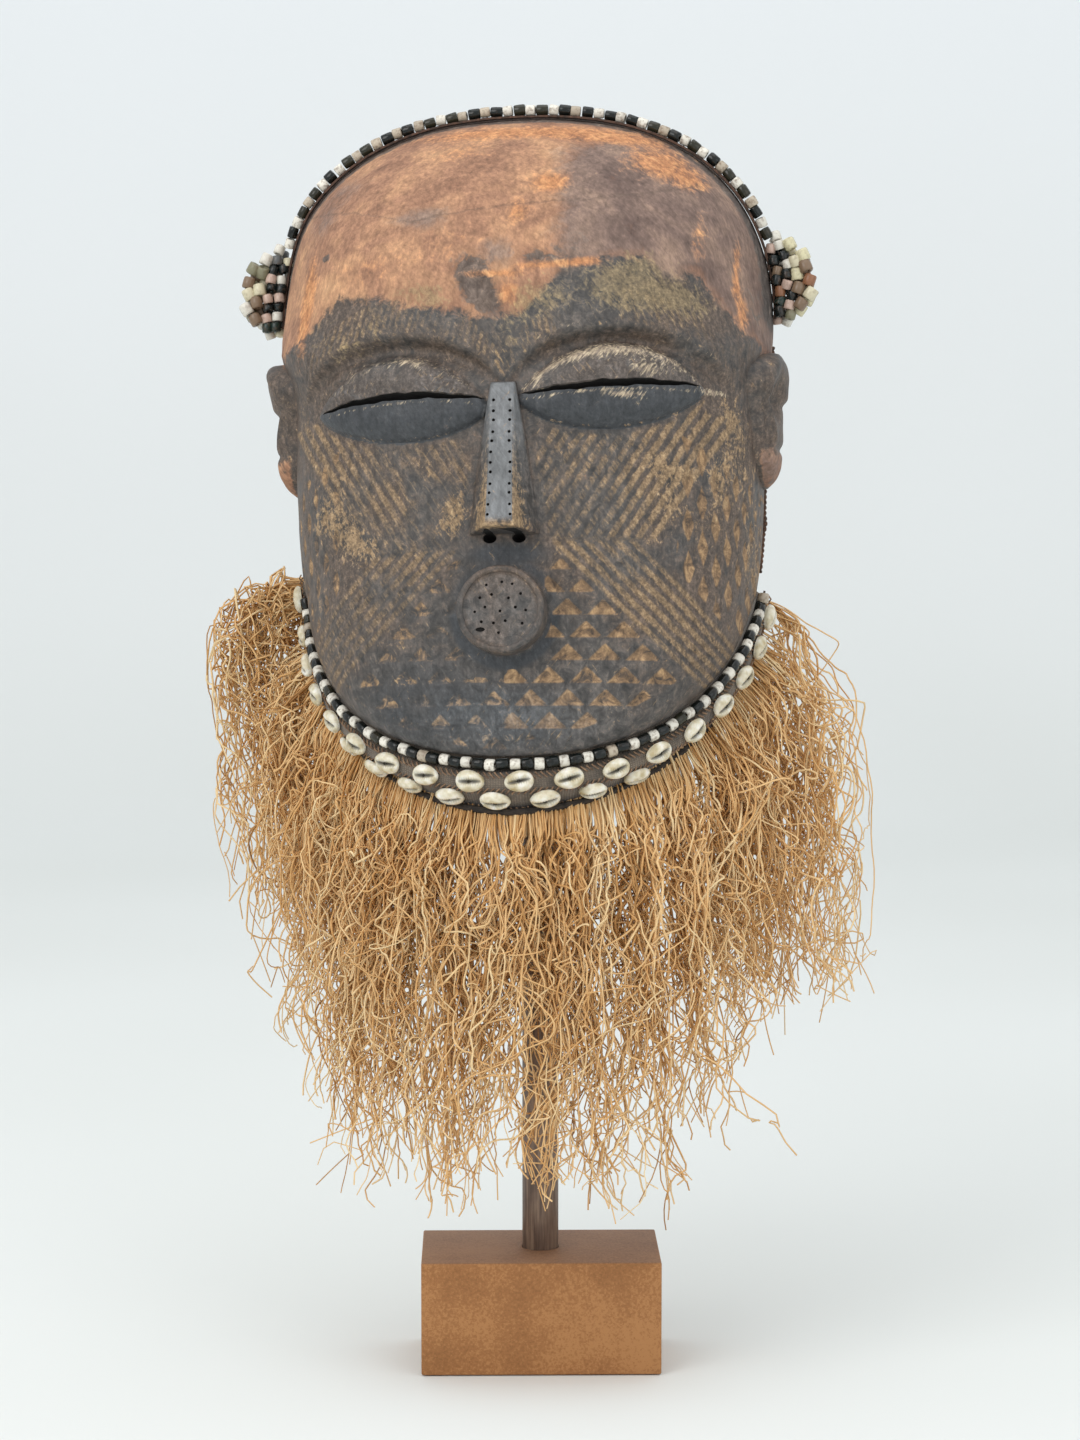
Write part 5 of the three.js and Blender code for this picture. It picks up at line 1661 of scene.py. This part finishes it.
def rounded_section(corners):
    """A corner-cut outline: each round softens its corners."""
    points = np.array(corners, float)
    for _ in range(2):
        after = np.roll(points, -1, axis=0)
        points = np.stack([0.8 * points + 0.2 * after, 0.2 * points + 0.8 * after], axis=1).reshape(-1, 2)
    return points


def collar_mesh(wrinkle):
    """The wrinkled roll: its points, its faces, its cloth coordinates in mm and its dark hem."""
    steps = 420
    section = rounded_section(COLLAR_SECTION)
    shares = np.linspace(0, 1, steps)
    middle = section.mean(axis=0)
    rings = []
    for k, alpha in enumerate(collar_angles(shares)):
        ends = 1 - 0.25 * bell(min(k, steps - 1 - k) / 5)
        outward, forward = (middle + (section - middle) * ends).T
        rings.append(collar_place(np.full(len(section), alpha), outward, forward)[0])
    rings = np.array(rings)
    grid = np.stack(
        np.meshgrid(shares * COLLAR_LENGTH, path_lengths(section), indexing="ij"), axis=-1
    )
    # Pleats across the roll where the thread pulls it, and softer lumps
    flat = np.concatenate([grid, 0 * grid[..., :1]], axis=-1).reshape(-1, 3)
    lumps = mottle(flat * np.array([1.0, 0.35, 1.0]), 3.4, 4) + 0.8 * mottle(flat, 9, 6)
    away = unit(rings - rings.mean(axis=1, keepdims=True))
    rings = rings - away * (0.5 - 0.5 * lumps.reshape(steps, -1, 1)) * wrinkle / MM
    points, faces = loft(rings)
    # The hem under the roll is dark with oil.
    hem = smooth(section[:, 0] - section[:, 1], 26, 30)
    return points, faces, grid.reshape(-1, 2), np.tile(hem, steps)


def cowrie_unit():
    """A cowrie with its toothed side up: a domed oval with a curved, toothed slit."""
    rows, columns = 15, 44
    rho = np.linspace(0.0, 1.0, rows)[1:] ** 0.8
    r, a = np.meshgrid(rho, np.linspace(0, 2 * np.pi, columns, endpoint=False), indexing="ij")
    x = COWRIE["half_length"] * r * np.cos(a)
    y = COWRIE["half_width"] * r * np.sin(a) * (1 - 0.12 * np.cos(a))
    dome = np.maximum(0, 1 - r**2.4) ** 0.55 * (1 + 0.1 * np.cos(a))
    z = 0.25 * COWRIE["height"] + 0.72 * COWRIE["height"] * dome / 1.1
    across = np.abs(y - 0.7 * np.sin(x / 5.2))
    along = np.maximum(0, 1 - (x / 7.0) ** 4)
    slit = bell(across / (0.95 + 0.35 * np.cos(x / 3.4))) * along
    teeth = 0.5 * (1 + np.cos(2 * np.pi * x / 1.25)) * along
    teeth = teeth * smooth(across, 0.3, 0.9) * smooth(3.0 - across, 0, 1.4)
    z = z - 2.2 * slit - 0.42 * teeth
    # Painted shade: dark in the slit and in the grooves between its teeth.
    dark = np.maximum((slit > 0.45) * slit, 0.55 * teeth * bell(across / 1.9))
    top = np.stack([x, y, z], axis=-1).reshape(-1, 3)
    foot = top[-columns:] * np.array([0.86, 0.86, 0.0])
    points = np.concatenate([[[0, 0, z[0].mean() - 0.6]], top, foot, [[0, 0, 0]]])
    faces = [(0, 1 + k, 1 + (k + 1) % columns) for k in range(columns)]
    faces += grid_faces(rows, columns, first=1, closed=True)
    last, base = len(points) - 1, 1 + (rows - 1) * columns
    faces += [(base + (k + 1) % columns, base + k, last) for k in range(columns)]
    mesh = new_mesh("cowrie_unit", points * MM, facing_out(points, faces))
    # The foot underneath takes a little painted shade as well.
    give(mesh, slit=np.concatenate([[1.0], dark.ravel(), np.full(columns + 1, 0.3)]))
    mesh.shade_smooth()
    return new_object("cowrie_unit", mesh)


def cowrie_places():
    """Where each cowrie is sewn: its point, run and the way that its slit faces."""
    rows = []
    for count, first, outward, forward, tilt in COWRIE_ROWS:
        alpha = collar_angles((first + np.arange(count)) / COWRIE_ROWS[0][0])
        spot, run, across, ahead = collar_place(alpha, outward, forward)
        up = ahead * math.cos(tilt) + across * math.sin(tilt)
        rows.append((spot + up * 0.4, run, up))
    return [np.concatenate(column) for column in zip(*rows)]


class BEADEDMASK_OT_sew_collar(bpy.types.Operator):
    """Roll and sew the cloth collar around the chin"""

    bl_idname = "beaded_mask.sew_collar"
    bl_label = "Sew the collar"

    def execute(self, context):
        settings = context.scene.beaded_mask.collar
        points, faces, cloth, hem = collar_mesh(settings.wrinkle)
        mesh = new_mesh("sewn_collar", place(points), faces)
        weave = mesh.uv_layers.new(name="weave")
        order = np.empty(len(mesh.loops), dtype=int)
        mesh.loops.foreach_get("vertex_index", order)
        weave.data.foreach_set("uv", cloth[order].ravel())
        give(mesh, hem=hem)
        cotton = sewn_cotton("oiled_brown_cotton", "#46403a", "#8c7d6c", 1.1)
        collar = finish_piece(
            "sewn_collar", mesh, "collar_cloth", "chin_collar", material=cotton, sharp=0
        )
        # Slanting stitches along the roll between the shells
        count = 150
        shares = (np.arange(count) + 0.5) / count
        lines = []
        for outward, forward, lean in STITCH_ROWS:
            along = np.clip(np.stack([shares - lean, shares, shares + lean], 1), 0, 1)
            steps = np.tile([-1.6, 0.0, 1.6], count)
            lift = np.tile([-0.9, 0.35, -0.9], count)
            spot = collar_place(collar_angles(along.ravel()), outward + steps, forward + lift)[0]
            lines.append(spot.reshape(count, 3, 3))
        # The rolled hem under the lower shells, black with oil
        hem = collar_place(collar_angles(np.linspace(0.01, 0.99, 160)), *HEM_PLACE)[0]
        oiled = twisted_fibre("oiled_hem", "#1f1a17", "#40372f")
        finish_piece("collar_hem", strands("collar_hem", place(hem)[None], oiled, 3.4, 8), "collar_cloth")
        thread = twisted_fibre("camwood_thread", "#5b4637", "#9f8064")
        mesh = strands("collar_stitches", place(np.concatenate(lines)), thread, settings.thread / MM, 5)
        finish_piece("collar_stitches", mesh, "collar_cloth", sharp=0)
        return {"FINISHED"}


class BEADEDMASK_OT_sew_cowries(bpy.types.Operator):
    """Sew both rows of cowries on the collar"""

    bl_idname = "beaded_mask.sew_cowries"
    bl_label = "Sew the cowries"

    def execute(self, context):
        spots, runs, ups = cowrie_places()
        chance = np.random.default_rng(7)
        count = len(spots)
        carrier = new_mesh("cowries", place(spots))
        flip = np.where(chance.random(count) < 0.5, -1.0, 1.0)[:, None]
        give(
            carrier, along=(ups + chance.normal(0, 0.06, (count, 3))) @ POSE.T,
            out=(flip * runs + chance.normal(0, 0.05, (count, 3))) @ POSE.T,
            size=np.repeat(chance.uniform(0.93, 1.0, (count, 1)), 3, 1),
        )
        mesh = grown(
            "cowries", carrier, threading_tree(), Unit=cowrie_unit(), Width=1.0, Length=1.0,
            Unevenness=0.02, Seed=4, Material=cowrie_shell(),
        )
        fresh("cowrie_unit")
        nodes = [
            f"{row}_cowrie_{k + 1:02d}"
            for row, (many, *_) in zip(("upper", "lower"), COWRIE_ROWS)
            for k in range(many)
        ]
        finish_piece("cowries", mesh, "cowrie", *nodes, sharp=0)
        return {"FINISHED"}


# The beard

BEARD = {
    "front_puff": 5.0, "foot": 104.0, "spread": 70.0, "clear": 6.0, "thickness": 20.0,
    "left": {"rise": 13.0, "puff": 33.0, "power": 2.0, "quickness": 5.0, "bulge": 14.0, "foot": 215.0},
    "right": {"rise": 6.0, "puff": 46.0, "power": 1.4, "quickness": 2.8, "bulge": 0.0, "foot": 192.0},
}
# The strip under the collar that the fibres leave from
BEARD_ROOTS = {"outward": (17.0, 26.5), "forward": (-12.0, -10.2)}
# How long and how high the fibres wave, from the slow swing of a lock to a fibre's own kinks, in mm
WAVES = ((110.0, 8.5), (58.0, 6.5), (29.0, 3.6), (14.0, 1.3))
# The fibres in a lock, and how far a lock would draw in fibres from the collar's two ends
LOCK, GATHER = 15, 560.0
# Where the beard's points slow down, how far they get past that, and their last place at the back
BEARD_ROOM = {"side": (150.0, 21.0), "depth": (76.0, 16.0), "back": 72.0}


def wander(count, run, chance, waves):
    """How far lines stray sideways at each length along them: a few waves of each size."""
    total = np.zeros((*run.shape, 3))
    for span, size in waves:
        for axis in range(3):
            turn = run / (span * chance.uniform(0.7, 1.4, (count, 1))) + chance.random((count, 1))
            total[..., axis] += size * chance.normal(0, 0.7, (count, 1)) * np.sin(2 * np.pi * turn)
    return total


def within(x, start, room):
    """Values that slow down past the start and stay within the room beyond it."""
    over = np.maximum(0, np.abs(x) - start)
    return np.sign(x) * (np.minimum(np.abs(x), start) + room * np.tanh(over / room))


def kept_in(spot):
    """Points of the beard, with the ones that stray too far out drawn in."""
    spot[..., 0] = within(spot[..., 0], *BEARD_ROOM["side"])
    spot[..., 1] = np.minimum(within(spot[..., 1], *BEARD_ROOM["depth"]), BEARD_ROOM["back"])
    return spot


def beard_lines(share, steps, chance):
    """Fibre paths in mm of the part's frame, from their shares along the collar."""
    count = len(share)
    across = 2 * share - 1
    alpha = mix(*COLLAR_RUN, share)
    outward = chance.uniform(*BEARD_ROOTS["outward"], count)
    forward = np.interp(outward, *BEARD_ROOTS.values()) + chance.uniform(-0.8, 0.8, count)
    root = place(collar_place(alpha, outward, forward)[0]) / MM
    seam = mix(26.8, 29.2, smooth(np.abs(across), 0, 0.6))
    anchor = place(collar_place(alpha, seam, np.full(count, -9.0))[0]) / MM
    facing = np.radians(BEARD["spread"] * across - math.degrees(TURN))
    out = np.stack([np.sin(facing), -np.cos(facing), 0 * facing], axis=-1)
    aside = np.stack([np.cos(facing), np.sin(facing), 0 * facing], axis=-1)
    pick = {
        key: np.where(across < 0, BEARD["left"][key], BEARD["right"][key]) for key in BEARD["left"]
    }
    end = smooth(np.abs(across), 0.7, 1)
    flank = smooth(np.abs(across), 0.35, 0.9)
    rise = end * pick["rise"]
    puff = mix(BEARD["front_puff"], pick["puff"], np.abs(across) ** pick["power"])
    # The fringe is longest in the middle, and its lower end rises and falls.
    foot = mix(BEARD["foot"], pick["foot"], smooth(np.abs(across), 0.3, 0.86))
    foot += 9 * np.sin(12 * across) + 6 * np.sin(29 * across)
    fall = anchor[:, 2] + rise - foot
    # Most fibres end somewhat above the foot, and more of them do in the middle, where the rod shows.
    thin = bell(across / 0.16)
    reach = np.minimum(1.03, 1.05 - (0.62 + 0.14 * thin) * chance.random(count) ** (1.2 - 0.2 * thin))
    # At the flanks the mass fills the room from the jaw out to its envelope.
    fill = mix(1, chance.uniform(0.0, 1.06, count) ** 0.8, flank)
    depth = chance.uniform(-1, 1, count)
    down = np.linspace(0, 1, steps)[None] ** 1.3 * reach[:, None]
    run = down * fall[:, None]
    flare = puff[:, None] * (1 - (1 - np.minimum(down, 1)) ** pick["quickness"][:, None])
    bulge = (end * pick["bulge"])[:, None] * bell((down - 0.2) / 0.2)
    body = np.sqrt(np.sin(np.pi * 0.9 * np.minimum(down, 1)))
    half = (BEARD["thickness"] / 2 * (1 + end / 3))[:, None] * body
    away = (BEARD["clear"] * (1 + 1.8 * end))[:, None]
    away = away + (flare + bulge) * fill[:, None] + depth[:, None] * half
    spot = anchor[:, None] + out[:, None] * away[..., None]
    spot[..., 2] += rise[:, None] * np.minimum(1, down * 9) - run
    # Neighbours swing together as a lock, then each fibre goes its own way.
    lock = np.arange(count) // LOCK
    locks = lock[-1] + 1
    stray = np.where(chance.random(count) < 0.05, 2.2, 1.0)[:, None, None]
    lean = (chance.normal(0, 0.07, locks)[lock] + chance.normal(0, 0.045, count) * stray[:, 0, 0]) * fall
    swing = wander(locks, run[::LOCK], chance, WAVES[:2])[lock]
    own = wander(count, run, chance, WAVES)
    curls = wander(count, run, chance, ((17.0, 6.0), (9.0, 2.5)))
    curls *= ((across < 0) * end + 0.25)[:, None, None] * bell((down - 0.12) / 0.2)[..., None]
    loose = smooth(run, 3, 40)[..., None]
    # The fibres of a lock draw together below the seam.
    middle = np.bincount(lock, share)[lock] / np.bincount(lock)[lock]
    gather = ((middle - share) * chance.uniform(0, 1, count))[:, None] * GATHER * bell((run - 34) / 40)
    gather *= smooth(run, 4, 26)
    spot += aside[:, None] * gather[..., None]
    spot += loose * (0.9 * swing + 0.75 * own * stray) + smooth(run, 2, 14)[..., None] * curls
    spot += aside[:, None] * (lean[:, None] * down**1.4)[..., None]
    # Each fibre leaves the seam under the collar before it falls.
    spot = mix(root[:, None], spot, smooth(down, 0.0, 0.08)[..., None])
    return kept_in(spot), down, lock


class BEADEDMASK_OT_comb_beard(bpy.types.Operator):
    """Comb the raffia beard that hangs under the collar"""

    bl_idname = "beaded_mask.comb_beard"
    bl_label = "Comb the raffia beard"

    def execute(self, context):
        settings = context.scene.beaded_mask.beard
        chance = np.random.default_rng(2)
        count, steps = settings.fibres, 60
        share = np.sort((np.arange(count) + chance.random(count)) / count)
        lines, down, lock = beard_lines(share, steps, chance)
        girth = mix(1.0, 0.7, down) * chance.uniform(0.7, 1.25, (count, 1))
        tone = chance.normal(0.0, 0.09, lock[-1] + 1)[lock] + chance.normal(0.42, 0.14, count)
        tone = np.repeat(tone[:, None], steps, 1) + 0.1 * down
        raffia = raffia_fibre()
        thick = settings.thickness / MM
        names = ("beard_left", "beard_middle_left", "beard_middle_right", "beard_right")
        for part, name in enumerate(names):
            pick = (np.arange(count) * len(names) // count) == part
            mesh = strands(name, lines[pick] * MM, raffia, thick, 3, girth[pick], tone=tone[pick])
            finish_piece(name, mesh, "raffia", "raffia_beard", sharp=0)
        # The split ends: short forks that leave the last part of a fibre.
        forks = chance.choice(count, count // 2, replace=False)
        start = chance.integers(steps - 7, steps - 2, len(forks))
        foot = lines[forks, start]
        way = unit(lines[forks, -1] - foot + (0, 0, -2)) + chance.normal(0, 0.5, (len(forks), 3))
        bend = chance.normal(0, 2.0, (len(forks), 3))
        part = np.linspace(0, 1, 5)[None, :, None]
        reach = chance.uniform(7, 20, (len(forks), 1, 1))
        tips = foot[:, None] + way[:, None] * reach * part + bend[:, None] * part**2
        mesh = strands(
            "beard_split_ends", kept_in(tips) * MM, raffia, thick, 3, np.full(tips.shape[:2], 0.6),
            tone=np.repeat(tone[forks, :1], 5, 1),
        )
        finish_piece("beard_split_ends", mesh, "raffia", sharp=0)
        return {"FINISHED"}


# The stand

# The rod, the block and the rod's socket in it, in mm of the part's frame
ROD_RADIUS = 9.0
BLOCK = {"half_width": 59, "half_depth": 35, "height": 56, "ease": 0.9}
SOCKET = {"radius": 9.3, "floor": 21, "top": 90}
# Where along its height the rod has a ring, and how wide it is there: both ends are eased
ROD_RINGS = ((0, 0.93), (0.002, 1), (0.2, 1), (0.4, 1), (0.6, 1), (0.8, 1), (0.99, 1), (1, 0.95))


def stand_rod(node):
    """The round rod, its top cut to the slope of the CAD's."""
    points = np.array([tuple(vertex.co) for vertex in node.data.vertices]) / MM
    foot, top = points[:, 2].min(), points[points[:, 2] > 200]
    slope = np.linalg.lstsq(np.c_[top[:, :2], np.ones(len(top))], top[:, 2], rcond=None)[0]
    ring = np.array(circle(ROD_RADIUS, 64))
    high = ring @ slope[:2] + slope[2]
    return loft([np.c_[ring * size, mix(foot, high, share)] for share, size in ROD_RINGS])


def base_block():
    """The block with eased edges and the rod's socket."""
    wide, deep = BLOCK["half_width"], BLOCK["half_depth"]
    corners = itertools.product((-wide, wide), (-deep, deep), (0, BLOCK["height"]))
    socket = [
        [(x, y, z) for x, y in circle(SOCKET["radius"], 64)] for z in (SOCKET["floor"], SOCKET["top"])
    ]
    return combined(bevelled_hull(corners, BLOCK["ease"]), loft(socket), "DIFFERENCE")


class BEADEDMASK_OT_finish_stand(bpy.types.Operator):
    """Turn the rod and ease the block of the stand"""

    bl_idname = "beaded_mask.finish_stand"
    bl_label = "Finish the stand"

    def execute(self, context):
        rod = stand_rod(frame["nodes"]["stand_rod"])
        for name, (points, faces), slot, node, material in (
            ("turned_rod", rod, "rod_wood", "stand_rod", stained_dowel()),
            ("eased_block", base_block(), "block_board", "base_block", fibreboard()),
        ):
            finish_piece(name, new_mesh(name, points * MM, faces), slot, node, material=material)
        return {"FINISHED"}


# The stage

CAMERA = {"place": (-27.6, -1671.0, 466.3), "pitch": 5.0, "yaw": 0.94, "lens": 85.0}
# Each light: its place and its aim in metres, its size, its power and its tint
LIGHTS = {
    "key_light": ((-1.3, -1.5, 1.7), (0, 0, 0.4), 1.4, 17.0, (1.0, 0.99, 0.975)),
    "fill_light": ((1.5, -1.6, 1.1), (0, 0, 0.4), 1.8, 7.0, (0.98, 0.99, 1.0)),
    "top_light": ((0.0, -0.1, 2.2), (0, 0, 0.3), 1.6, 8.0, (1.0, 1.0, 1.0)),
}
# The sheet in metres: half its width, its front end, where it starts to bend up and how wide the bend
# is, its top, and how far it lies under the block
BACKDROP = {"half": 6.0, "front": -6.0, "bend_at": 2.2, "bend": 1.1, "top": 5.0, "under": 0.0005}


class BEADEDMASK_OT_set_stage(bpy.types.Operator):
    """Set the camera, the soft studio light and the pale floor"""

    bl_idname = "beaded_mask.set_stage"
    bl_label = "Set the stage"

    def execute(self, context):
        scene = context.scene
        strength = scene.beaded_mask.stage.light
        scene.view_settings.view_transform = "Standard"
        lens = bpy.data.cameras.new("studio_camera")
        lens.lens, lens.sensor_width, lens.clip_end = CAMERA["lens"], 36.0, 30.0
        camera = new_object("studio_camera", lens)
        camera.location = Vector(CAMERA["place"]) * MM
        camera.rotation_euler = (math.radians(90 - CAMERA["pitch"]), 0, -math.radians(CAMERA["yaw"]))
        scene.camera = camera
        for name, (spot, aim, size, power, tint) in LIGHTS.items():
            light = bpy.data.lights.new(name, "AREA")
            light.size, light.energy, light.color = size, power * strength, tint
            lamp = new_object(name, light)
            lamp.location = spot
            lamp.rotation_euler = (Vector(aim) - Vector(spot)).to_track_quat("-Z", "Y").to_euler()
        # A sheet of paper that runs from the floor up the wall in one curve
        start, bend = BACKDROP["bend_at"], BACKDROP["bend"]
        curve = [
            (start + bend * math.sin(a), bend - bend * math.cos(a))
            for a in np.linspace(0, np.pi / 2, 24)
        ]
        profile = [
            (BACKDROP["front"], 0.0), (-2.0, 0.0), (0.0, 0.0), *curve, (start + bend, BACKDROP["top"])
        ]
        across = np.linspace(-BACKDROP["half"], BACKDROP["half"], 9)
        points = [(x, y, z - BACKDROP["under"]) for y, z in profile for x in across]
        faces = grid_faces(len(profile), len(across))
        backdrop = new_object("backdrop", new_mesh("backdrop", points, faces))
        backdrop.data.materials.append(painted_backdrop())
        backdrop.data.shade_smooth()
        world = bpy.data.worlds.new("studio_air")
        world.use_nodes = True
        air = world.node_tree.nodes["Background"]
        air.inputs["Color"].default_value = linear("#eceef0")
        air.inputs["Strength"].default_value = strength
        scene.world = world
        return {"FINISHED"}


# The add-on's panel and its registration

OPERATORS = (
    BEADEDMASK_OT_set_stage,
    BEADEDMASK_OT_carve_face,
    BEADEDMASK_OT_trim_crown,
    BEADEDMASK_OT_string_chin,
    BEADEDMASK_OT_thread_rosettes,
    BEADEDMASK_OT_tie_side_cords,
    BEADEDMASK_OT_sew_collar,
    BEADEDMASK_OT_sew_cowries,
    BEADEDMASK_OT_comb_beard,
    BEADEDMASK_OT_finish_stand,
)


class BEADEDMASK_PT_panel(bpy.types.Panel):
    """The pieces of the beaded mask"""

    bl_idname = "BEADEDMASK_PT_panel"
    bl_label = "Beaded mask"
    bl_space_type = "VIEW_3D"
    bl_region_type = "UI"
    bl_category = "Beaded mask"

    def draw(self, context):
        settings = context.scene.beaded_mask
        for group in (settings.face, settings.beads, settings.collar, settings.beard, settings.stage):
            box = self.layout.box()
            for name in group.__annotations__:
                box.prop(group, name)
        for operator in OPERATORS:
            self.layout.operator(operator.bl_idname)


CLASSES = (
    FaceSettings, BeadSettings, CollarSettings, BeardSettings, StageSettings, MaskSettings,
    *OPERATORS, BEADEDMASK_PT_panel,
)


def register():
    for each in CLASSES:
        bpy.utils.register_class(each)
    bpy.types.Scene.beaded_mask = bpy.props.PointerProperty(type=MaskSettings)


def unregister():
    del bpy.types.Scene.beaded_mask
    for each in reversed(CLASSES):
        bpy.utils.unregister_class(each)


def main():
    register()
    for operator in OPERATORS:
        group, name = operator.bl_idname.split(".")
        getattr(getattr(bpy.ops, group), name)()


if __name__ == "__main__":
    main()
